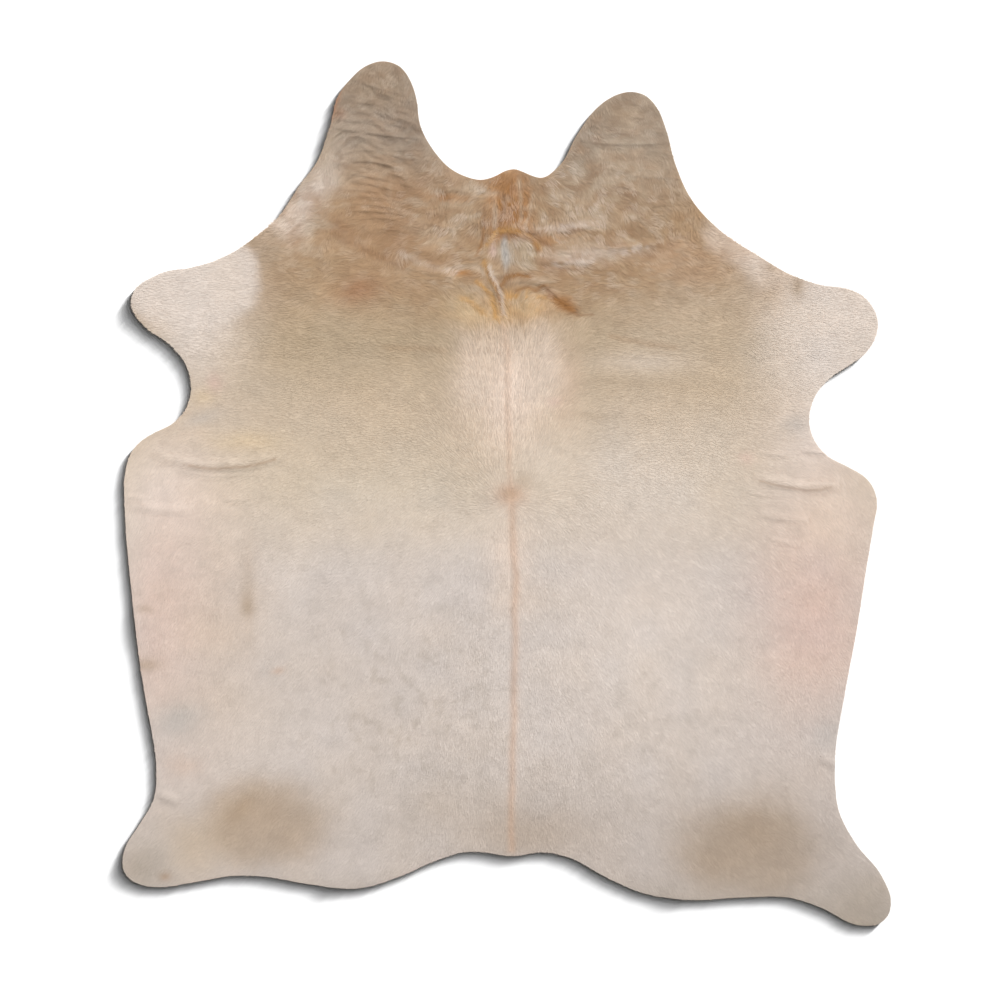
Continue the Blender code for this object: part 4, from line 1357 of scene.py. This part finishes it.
def sheet_map():
    """A place on the map for each corner of each triangle."""
    low = edge_row.min(axis=0)
    flat = (sheet_places[:, :2] - low) * MAP_SCALE + MAP_MARGIN
    count = len(hair_side)
    flat[count:, 0] += FLESH_SIDE_SHIFT
    corners = flat[faces]
    around = np.concatenate([[0], np.cumsum(np.hypot(*(np.roll(edge_row, -1, 0) - edge_row).T))])
    around = around / around[-1] * WALL_ROWS
    row = np.minimum(around[:-1].astype(int), WALL_ROWS - 1)
    base = 1 - MAP_MARGIN - (row + 1) * (WALL_ROW_HEIGHT + MAP_MARGIN)
    here = np.clip(around[:-1] - row, 0, 1) * (1 - 2 * MAP_MARGIN) + MAP_MARGIN
    ahead = np.clip(around[1:] - row, 0, 1) * (1 - 2 * MAP_MARGIN) + MAP_MARGIN
    high = base + WALL_ROW_HEIGHT
    first = np.stack([
        np.stack([here, high], 1), np.stack([here, base], 1), np.stack([ahead, base], 1)], 1)
    second = np.stack([
        np.stack([here, high], 1), np.stack([ahead, base], 1), np.stack([ahead, high], 1)], 1)
    corners[-2 * wall_steps:] = np.concatenate([first, second])
    return corners.reshape(-1, 2)


skin_map = skin_mesh.uv_layers.new(name="OFBake")
skin_map.data.foreach_set("uv", sheet_map().astype(np.float32).ravel())
skin_mesh.shade_smooth()
skin_mesh.set_sharp_from_angle(angle=SHARP_ANGLE)
for finish in (stubble_finish, suede_finish, cut_finish):
    skin_mesh.materials.append(finish)
print("map corners", len(skin_map.data))

# %% Put the sheet in the scene
hide_pieces = bpy.data.collections.new("hide")
bpy.context.scene.collection.children.link(hide_pieces)
hide_skin = bpy.data.objects.new("hide_skin", skin_mesh)
hide_pieces.objects.link(hide_skin)
skin_check = bmesh.new()
skin_check.from_mesh(skin_mesh)
open_edges = sum(1 for edge in skin_check.edges if not edge.is_manifold)
print("open edges", open_edges, "volume in litres", round(1000 * skin_check.calc_volume(), 2))
skin_check.free()

# %% [markdown]
# ## The coat, hair by hair
# A true hide has some hundreds of hairs to the square centimetre, far too many to model. A
# hair-wide ribbon stands for a small lock, and about ten of them to the square centimetre
# already cover the skin. They could be curves, but ribbons of three triangles are lighter
# and keep their shape in any program. A Geometry Nodes tree scatters them, turns each one
# along the coat and lays it nearly flat. Neighbours in one tuft swing the same way, which is
# what makes fur look brushed instead of sown.

# %% A tree for one ribbon
SMALLEST_GAP = 1e-4
ROOT_WIDTH = 0.7
WIDENS = 1.9
NARROWS = -2.6
ARCH_PEAK = 4.0


def add_input(tree, name, kind, value=None):
    """A named input of a Geometry Nodes tree."""
    socket = tree.interface.new_socket(name, in_out="INPUT", socket_type=kind)
    if value is not None:
        socket.default_value = value


def ribbon(tree, arch):
    """One hair of length one along x, bent up by arch, wide in its middle and pointed."""
    grid = add_node(tree, "GeometryNodeMeshGrid")
    for label, value in (("Size X", 1.0), ("Size Y", 1.0), ("Vertices X", 3), ("Vertices Y", 2)):
        grid.inputs[label].default_value = value
    place = add_node(tree, "ShaderNodeSeparateXYZ")
    plug(tree, add_node(tree, "GeometryNodeInputPosition").outputs[0], place.inputs[0])
    along = maths(tree, "ADD", place.outputs["X"], 0.5)
    squared = maths(tree, "MULTIPLY", along, along)
    taper = maths(tree, "MULTIPLY_ADD", along, WIDENS, ROOT_WIDTH)
    taper = maths(tree, "MULTIPLY_ADD", squared, NARROWS, taper)
    bent = maths(tree, "MULTIPLY", maths(tree, "SUBTRACT", along, squared), arch)
    shaped = add_node(tree, "ShaderNodeCombineXYZ")
    plug(tree, along, shaped.inputs["X"])
    plug(tree, maths(tree, "MULTIPLY", place.outputs["Y"], taper), shaped.inputs["Y"])
    plug(tree, maths(tree, "MULTIPLY", bent, ARCH_PEAK), shaped.inputs["Z"])
    marked = add_node(
        tree, "GeometryNodeStoreNamedAttribute", data_type="FLOAT", domain="POINT")
    marked.inputs["Name"].default_value = "along"
    plug(tree, grid.outputs["Mesh"], marked.inputs["Geometry"])
    plug(tree, along, marked.inputs["Value"])
    moved = add_node(tree, "GeometryNodeSetPosition")
    plug(tree, marked.outputs["Geometry"], moved.inputs["Geometry"])
    plug(tree, shaped.outputs["Vector"], moved.inputs["Position"])
    pointed = add_node(tree, "GeometryNodeMergeByDistance")
    plug(tree, moved.outputs["Geometry"], pointed.inputs["Geometry"])
    pointed.inputs["Distance"].default_value = SMALLEST_GAP
    return pointed.outputs["Geometry"]


print("ribbon ready")

# %% Random numbers and named values in the tree
def between(tree, low, high, seed):
    """A random number for each hair."""
    node = add_node(tree, "FunctionNodeRandomValue", data_type="FLOAT")
    numbers = [socket for socket in node.inputs if socket.enabled]
    for source, target in zip((low, high), numbers):
        plug(tree, source, target)
    plug(tree, seed, node.inputs["Seed"])
    return next(socket for socket in node.outputs if socket.enabled)


def carried(tree, name, kind):
    """A named value of the skin under the hair."""
    node = add_node(tree, "GeometryNodeInputNamedAttribute", data_type=kind)
    node.inputs["Name"].default_value = name
    return node.outputs["Attribute"]


def stored(tree, geometry, name, value):
    """The points with one more named number."""
    node = add_node(tree, "GeometryNodeStoreNamedAttribute", data_type="FLOAT", domain="POINT")
    node.inputs["Name"].default_value = name
    plug(tree, geometry, node.inputs["Geometry"])
    plug(tree, value, node.inputs["Value"])
    return node.outputs["Geometry"]


print("random helpers ready")

# %% The coat tree
LENGTHS = (0.72, 1.12)
HEIGHTS = (0.35, 1.35)
WIDTHS = (0.75, 1.25)
TUFT_HEIGHT_SPREAD = 0.6
LOWEST_TUFT = 0.7
STEEPEST = 0.3
SEEDS = {"swing": 5, "length": 6, "height": 7, "roll": 8, "tone": 9, "width": 10}


def make_coat_tree():
    """Scatters ribbons over a patch of skin and lays them along its hair."""
    tree = bpy.data.node_groups.new("lying coat", "GeometryNodeTree")
    for name, kind, value in (
            ("Skin", "NodeSocketGeometry", None),
            ("Hairs per square metre", "NodeSocketFloat", 100000.0),
            ("Hair length", "NodeSocketFloat", 0.016),
            ("Hair width", "NodeSocketFloat", 0.0012),
            ("Arch", "NodeSocketFloat", 0.05),
            ("Lift", "NodeSocketFloat", 0.7),
            ("Tufts per metre", "NodeSocketFloat", 60.0),
            ("Tuft swing", "NodeSocketFloat", 0.3),
            ("Hair swing", "NodeSocketFloat", 0.15),
            ("Roll", "NodeSocketFloat", 0.3),
            ("Seed", "NodeSocketInt", 1),
            ("Finish", "NodeSocketMaterial", None)):
        add_input(tree, name, kind, value)
    tree.interface.new_socket("Coat", in_out="OUTPUT", socket_type="NodeSocketGeometry")
    given = add_node(tree, "NodeGroupInput").outputs
    result = add_node(tree, "NodeGroupOutput").inputs

    spread = add_node(tree, "GeometryNodeDistributePointsOnFaces", distribute_method="RANDOM")
    plug(tree, given["Skin"], spread.inputs["Mesh"])
    plug(tree, given["Hairs per square metre"], spread.inputs["Density"])
    plug(tree, given["Seed"], spread.inputs["Seed"])
    up = spread.outputs["Normal"]

    cells = add_node(tree, "ShaderNodeTexVoronoi", voronoi_dimensions="2D")
    plug(tree, add_node(tree, "GeometryNodeInputPosition").outputs[0], cells.inputs["Vector"])
    plug(tree, given["Tufts per metre"], cells.inputs["Scale"])
    tuft = add_node(tree, "ShaderNodeSeparateXYZ")
    plug(tree, cells.outputs["Color"], tuft.inputs[0])

    tuft_turn = maths(tree, "MULTIPLY", maths(tree, "SUBTRACT", tuft.outputs["X"], MIDDLE),
                      given["Tuft swing"])
    hair_turn = maths(
        tree, "MULTIPLY", between(tree, -1.0, 1.0, SEEDS["swing"]), given["Hair swing"])
    turned = add_node(tree, "ShaderNodeVectorRotate", rotation_type="Z_AXIS")
    plug(tree, carried(tree, "lie", "FLOAT_VECTOR"), turned.inputs["Vector"])
    plug(tree, maths(tree, "ADD", tuft_turn, hair_turn), turned.inputs["Angle"])
    way = turned.outputs["Vector"]
    off_skin = vector_maths(
        tree, "SCALE", up, scale=vector_maths(tree, "DOT_PRODUCT", way, up))
    flat = vector_maths(tree, "NORMALIZE", vector_maths(tree, "SUBTRACT", way, off_skin))

    length = maths(tree, "MULTIPLY", given["Hair length"], carried(tree, "hair_scale", "FLOAT"))
    length = maths(tree, "MULTIPLY", length, between(tree, *LENGTHS, SEEDS["length"]))
    height = maths(tree, "MULTIPLY", carried(tree, "coat_depth", "FLOAT"), given["Lift"])
    height = maths(tree, "MULTIPLY", height, between(tree, *HEIGHTS, SEEDS["height"]))
    tuft_height = maths(tree, "MULTIPLY_ADD", tuft.outputs["Y"], TUFT_HEIGHT_SPREAD, LOWEST_TUFT)
    height = maths(tree, "MULTIPLY", height, tuft_height)
    height = maths(tree, "MINIMUM", height, maths(tree, "MULTIPLY", length, STEEPEST))
    ahead = vector_maths(
        tree, "ADD", vector_maths(tree, "SCALE", flat, scale=length),
        vector_maths(tree, "SCALE", up, scale=height))
    sideways = vector_maths(tree, "CROSS_PRODUCT", up, flat)
    roll = maths(tree, "MULTIPLY", between(tree, -1.0, 1.0, SEEDS["roll"]), given["Roll"])
    back = vector_maths(tree, "ADD", up, vector_maths(tree, "SCALE", sideways, scale=roll))
    turn = add_node(tree, "FunctionNodeAxesToRotation", primary_axis="X", secondary_axis="Z")
    plug(tree, ahead, turn.inputs["Primary Axis"])
    plug(tree, back, turn.inputs["Secondary Axis"])

    points = stored(tree, spread.outputs["Points"], "tuft", tuft.outputs["Z"])
    points = stored(tree, points, "hair", between(tree, 0.0, 1.0, SEEDS["tone"]))
    size = add_node(tree, "ShaderNodeCombineXYZ")
    width = maths(tree, "MULTIPLY", given["Hair width"], between(tree, *WIDTHS, SEEDS["width"]))
    for label, value in (("X", length), ("Y", width), ("Z", length)):
        plug(tree, value, size.inputs[label])
    planted = add_node(tree, "GeometryNodeInstanceOnPoints")
    plug(tree, points, planted.inputs["Points"])
    plug(tree, ribbon(tree, given["Arch"]), planted.inputs["Instance"])
    plug(tree, turn.outputs[0], planted.inputs["Rotation"])
    plug(tree, size.outputs["Vector"], planted.inputs["Scale"])
    real = add_node(tree, "GeometryNodeRealizeInstances")
    plug(tree, planted.outputs["Instances"], real.inputs["Geometry"])
    finished = add_node(tree, "GeometryNodeSetMaterial")
    plug(tree, real.outputs["Geometry"], finished.inputs["Geometry"])
    plug(tree, given["Finish"], finished.inputs["Material"])
    plug(tree, finished.outputs["Geometry"], result["Coat"])
    return tree


coat_tree = make_coat_tree()
print("coat tree has", len(coat_tree.nodes), "nodes")

# %% [markdown]
# ## Six parts of the coat
# One mesh with all the hair would be too heavy to pass on, so the coat is grown in six parts
# from neck to rump. Their borders don't show, because the ribbons cross them at random. Each
# part has its own values: on the neck the hair is longer and less tidy.

# %% The parts and their values
Part = namedtuple("Part", "name low length width arch lift tufts tuft_swing hair_swing roll seed")
BEYOND = 2.0
PARTS = [
    Part("coat_neck", 0.640, 0.0180, 0.00125, 0.07, 0.62, 50.0, 0.80, 0.20, 0.20, 3),
    Part("coat_shoulders", 0.330, 0.0170, 0.00125, 0.05, 0.42, 50.0, 0.52, 0.15, 0.08, 4),
    Part("coat_fore_back", 0.010, 0.0155, 0.00125, 0.03, 0.30, 55.0, 0.26, 0.10, 0.03, 5),
]
BACK_PARTS = [("coat_middle", -0.300), ("coat_hind_back", -0.620), ("coat_rump", -BEYOND)]
for name, low in BACK_PARTS:
    PARTS.append(Part(
        name, low, 0.0150, 0.00125, 0.03, 0.28, 55.0, 0.28, 0.10, 0.03, PARTS[-1].seed + 1))
HAIRS = 94000.0
CORNERS = 5


def patch_of_skin(part, high):
    """The skin that one part of the coat grows on, with all that the tree asks for."""
    middles = hair_side[hair_faces].mean(axis=1)[:, 1]
    own = hair_faces[(middles >= part.low) & (middles < high)]
    used, faces_here = np.unique(own, return_inverse=True)
    places = np.column_stack([hair_side, hair_side_z])[used]
    mesh = mesh_from(f"{part.name} skin", places, faces_here.reshape(-1, 3))
    ways = np.column_stack([hair_side_way, np.zeros(len(hair_side))])[used]
    set_values(mesh, "lie", "FLOAT_VECTOR", ways)
    set_values(mesh, "hair_scale", "FLOAT", hair_side_scale[used])
    set_values(mesh, "coat_depth", "FLOAT", coat_depth(hair_side)[used])
    return mesh


def grown(part, high):
    """The part's hair as a plain mesh: the tree is run once and then taken off."""
    patch = bpy.data.objects.new(f"{part.name} skin", patch_of_skin(part, high))
    bpy.context.scene.collection.objects.link(patch)
    modifier = patch.modifiers.new("coat", "NODES")
    modifier.node_group = coat_tree
    values = {
        "Hairs per square metre": HAIRS, "Hair length": part.length, "Hair width": part.width,
        "Arch": part.arch, "Lift": part.lift, "Tufts per metre": part.tufts,
        "Tuft swing": part.tuft_swing, "Hair swing": part.hair_swing, "Roll": part.roll,
        "Seed": part.seed, "Finish": hair_finish,
    }
    for socket in coat_tree.interface.items_tree:
        if socket.name in values:
            modifier[socket.identifier] = values[socket.name]
    ready = patch.evaluated_get(bpy.context.evaluated_depsgraph_get())
    mesh = bpy.data.meshes.new_from_object(ready)
    mesh.name = part.name
    bpy.data.objects.remove(patch, do_unlink=True)
    return mesh


print("parts", len(PARTS))

# %% [markdown]
# ## Colour and map for every ribbon
# A hair keeps one colour, but a ribbon stands for many hairs. So each of its corners takes the
# coat's colour at a place between the root and the corner itself, and a marking's border stays
# a little ragged, as in real fur. Each ribbon also gets a small square of its own on the part's
# map. The squares lie in the order in which the ribbons lie on the hide, so a square's
# neighbours have nearly its colour. One colour for the whole part would be simpler, but the
# markings would be lost.

# %% Read the ribbons of a part
SLOPE_STEP = 0.0012
LEAST_HEIGHT = 0.0003
ROOT_END = 0.25
TIP_START = 0.9


def ribbons_of(mesh):
    """Each ribbon's corners, and how far along the hair each of them is."""
    places = np.empty(len(mesh.vertices) * 3, dtype=np.float32)
    mesh.vertices.foreach_get("co", places)
    along = np.empty(len(mesh.vertices), dtype=np.float32)
    mesh.attributes["along"].data.foreach_get("value", along)
    return places.reshape(-1, CORNERS, 3).astype(float), along[:CORNERS]


def drape_ribbons(mesh):
    """Bends every ribbon over the folds under it; its height over the skin stays."""
    places, along = ribbons_of(mesh)
    roots = places[:, along < ROOT_END].mean(axis=1)
    east = surface_height(roots[:, :2] + (SLOPE_STEP, 0))
    west = surface_height(roots[:, :2] - (SLOPE_STEP, 0))
    north = surface_height(roots[:, :2] + (0, SLOPE_STEP))
    south = surface_height(roots[:, :2] - (0, SLOPE_STEP))
    up = np.stack([west - east, south - north, np.full(len(roots), 2 * SLOPE_STEP)], axis=1)
    up /= np.linalg.norm(up, axis=1)[:, None]
    height = np.einsum("ijk,ik->ij", places - roots[:, None], up)
    under = surface_height(places[:, :, :2].reshape(-1, 2)).reshape(-1, CORNERS)
    places[:, :, 2] = under + np.maximum(height, -LEAST_HEIGHT) + LEAST_HEIGHT
    mesh.vertices.foreach_set("co", places.astype(np.float32).ravel())
    mesh.update()


print("a ribbon has", CORNERS, "corners")

# %% Colour the ribbons and lay out their map
SQUARE_ROOM = 0.14
COLOUR_FOLLOWS = 0.6
PALE_LOCKS = (0.60, 0.40, 0.26)
BROWN_LOCKS = (0.40, -0.40, 0.32)
MANE_SPREAD = 0.26


def ribbon_values(mesh, name):
    """The number that each ribbon carries under a name."""
    values = np.empty(len(mesh.vertices), dtype=np.float32)
    mesh.attributes[name].data.foreach_get("value", values)
    return values[::CORNERS].astype(float)


def lock_colours(mesh, roots, colours):
    """Neck tufts are paler or browner than their neighbours; in the mane single hairs are."""
    tufts = ribbon_values(mesh, "tuft")
    for (start, width, strength), name in ((PALE_LOCKS, "milk"), (BROWN_LOCKS, "brown")):
        share = strength * tuft_share(roots) * np.clip((tufts - start) / width, 0, 1)
        colours += share[:, None, None] * (linear(HAIR[name]) - colours)
    in_mane = nearness(roots, MANE, MANE_REACH)
    spread = MANE_SPREAD * in_mane * (ribbon_values(mesh, "hair") - 0.5)
    return colours * (1 + spread[:, None, None])


def colour_ribbons(mesh):
    """Sets the coat's colour on every ribbon, and returns the ribbons' roots."""
    places, along = ribbons_of(mesh)
    flat = places[:, :, :2]
    roots = flat[:, along < ROOT_END].mean(axis=1)
    spots = roots[:, None] + COLOUR_FOLLOWS * (flat - roots[:, None])
    colours = coat_colour(spots.reshape(-1, 2)).reshape(-1, CORNERS, 3)
    colours = lock_colours(mesh, roots, colours).reshape(-1, 3)
    # Painted shade along the creases and in the crinkles' valleys, on every corner of the ribbons.
    colours *= painted_crease_shade(flat.reshape(-1, 2))[:, None]
    set_values(mesh, "coat", "FLOAT_COLOR", with_alpha(colours))
    return roots


def map_ribbons(mesh, roots):
    """Gives every ribbon a square of its own, in the order of their places."""
    count = len(roots)
    columns = math.ceil(math.sqrt(count))
    by_x = np.argsort(roots[:, 0], kind="stable")
    column = np.empty(count, dtype=int)
    column[by_x] = np.arange(count) // columns
    in_order = np.lexsort((roots[:, 1], column))
    row = np.empty(count, dtype=int)
    row[in_order] = np.arange(count) - column[in_order] * columns
    places, along = ribbons_of(mesh)
    middle = places[:, along < ROOT_END, :2].mean(axis=1)
    ahead = places[:, along > TIP_START, :2].mean(axis=1) - middle
    left = np.stack([-ahead[:, 1], ahead[:, 0]], axis=1)
    side = np.sign(np.einsum("ijk,ik->ij", places[:, :, :2] - middle[:, None], left))
    side[:, along > TIP_START] = 0.0
    across = 0.5 + side * (0.5 - SQUARE_ROOM)
    upward = SQUARE_ROOM + along * (1 - 2 * SQUARE_ROOM)
    u = (column[:, None] + across) / columns
    v = (row[:, None] + upward) / columns
    spots = np.stack([u, v], axis=2).reshape(-1, 2)
    corner_verts = np.empty(len(mesh.loops), dtype=np.int32)
    mesh.loops.foreach_get("vertex_index", corner_verts)
    layer = mesh.uv_layers.new(name="OFBake")
    layer.data.foreach_set("uv", spots[corner_verts].astype(np.float32).ravel())


def keep_only(mesh, wanted):
    """Takes off the values that the tree left on a mesh and no finish reads."""
    for name in [layer.name for layer in mesh.attributes]:
        layer = mesh.attributes[name]
        if name not in wanted and not layer.is_internal and not layer.is_required:
            mesh.attributes.remove(layer)


print("ribbon helpers ready")

# %% Grow the coat
coat_pieces = []
triangles = 0
high = BEYOND
for part in PARTS:
    coat = grown(part, high)
    high = part.low
    drape_ribbons(coat)
    roots = colour_ribbons(coat)
    keep_only(coat, ("coat", "along", "tuft", "hair"))
    coat.materials.clear()
    coat.materials.append(hair_finish)
    map_ribbons(coat, roots)
    coat.shade_smooth()
    piece = bpy.data.objects.new(part.name, coat)
    hide_pieces.objects.link(piece)
    coat_pieces.append(piece)
    triangles += 3 * len(roots)
    print(part.name, "hairs", len(roots), "triangles", 3 * len(roots))
print("coat triangles", triangles, "with the sheet", triangles + len(faces))

# %% [markdown]
# ## Floor and light
# The hide lies on a white floor in plain soft light, with its shadow falling to the left and
# towards the viewer's feet. One lamp can't give both the soft light that fur wants and the
# long shadow of an edge that is only a few millimetres high. So five lamps light only the
# floor, one over the other, so that the shadow fades out evenly. A high soft pair lights only
# the hide.

# %% Lay the floor
FLOOR_SIZE = 16.0
FLOOR_WHITE = 0.92
FLOOR_DROP = 0.0012
FLOOR_ROUGHNESS = 0.9
FLOOR_GLOSS = 0.1


def add_floor():
    """A plain white floor a hair's depth under the hide, whose nap keeps it off the floor."""
    half = FLOOR_SIZE / 2
    mesh = bpy.data.meshes.new("studio_floor")
    corners = [(-half, -half), (half, -half), (half, half), (-half, half)]
    mesh.from_pydata([(x, y, -FLOOR_DROP) for x, y in corners], [], [(0, 1, 2, 3)])
    material = bpy.data.materials.new("white floor")
    material.use_nodes = True
    shader = material.node_tree.nodes["Principled BSDF"]
    shader.inputs["Base Color"].default_value = (FLOOR_WHITE, FLOOR_WHITE, FLOOR_WHITE, 1.0)
    shader.inputs["Roughness"].default_value = FLOOR_ROUGHNESS
    shader.inputs["Specular IOR Level"].default_value = FLOOR_GLOSS
    mesh.materials.append(material)
    floor = bpy.data.objects.new("studio_floor", mesh)
    staging = bpy.data.collections.new("staging")
    bpy.context.scene.collection.children.link(staging)
    staging.objects.link(floor)
    return staging


staging = add_floor()
print("floor of", FLOOR_SIZE, "metres")

# %% Hang the lamps
Lamp = namedtuple("Lamp", "name azimuth elevation strength softness lights")
LAMPS = [
    Lamp("high key lamp", 50, 42, 1.865, 20, "hide"),
    Lamp("overhead fill", 90, 82, 2.08, 90, "hide"),
    Lamp("lowest floor lamp", 46, 5.2, 5.30, 2.4, "floor"),
    Lamp("second floor lamp", 46, 6.4, 8.90, 2.6, "floor"),
    Lamp("third floor lamp", 46, 8.6, 6.60, 4, "floor"),
    Lamp("fourth floor lamp", 46, 14.5, 2.90, 9, "floor"),
    Lamp("highest floor lamp", 46, 35, 0.68, 26, "floor"),
]
WORLD_LIGHT = 0.06
LAMP_DISTANCE = 6


def add_lamp(lamp, receivers):
    """A lamp far away in the given direction, which lights only some pieces."""
    light = bpy.data.lights.new(lamp.name, "SUN")
    light.energy = lamp.strength
    light.angle = math.radians(lamp.softness)
    holder = bpy.data.objects.new(lamp.name, light)
    azimuth, elevation = math.radians(lamp.azimuth), math.radians(lamp.elevation)
    towards = Vector((
        math.cos(elevation) * math.cos(azimuth),
        math.cos(elevation) * math.sin(azimuth),
        math.sin(elevation)))
    holder.location = towards * LAMP_DISTANCE
    holder.rotation_euler = towards.to_track_quat("Z", "Y").to_euler()
    holder.light_linking.receiver_collection = receivers
    bpy.context.scene.collection.objects.link(holder)


for lamp in LAMPS:
    add_lamp(lamp, hide_pieces if lamp.lights == "hide" else staging)
world = bpy.data.worlds.new("soft surroundings")
world.use_nodes = True
world.node_tree.nodes["Background"].inputs["Color"].default_value = (1.0, 1.0, 1.0, 1.0)
world.node_tree.nodes["Background"].inputs["Strength"].default_value = WORLD_LIGHT
bpy.context.scene.world = world
bpy.context.scene.view_settings.view_transform = "Standard"
print("lamps", len(LAMPS))

# %% [markdown]
# ## Tie the looks to the part
# The sheet stands for the imported solid, and the coat goes with it. The solid itself is
# hidden, so that only the sheet and the coat show.

for piece in [hide_skin] + coat_pieces:
    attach(piece, "root")
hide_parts("hide")
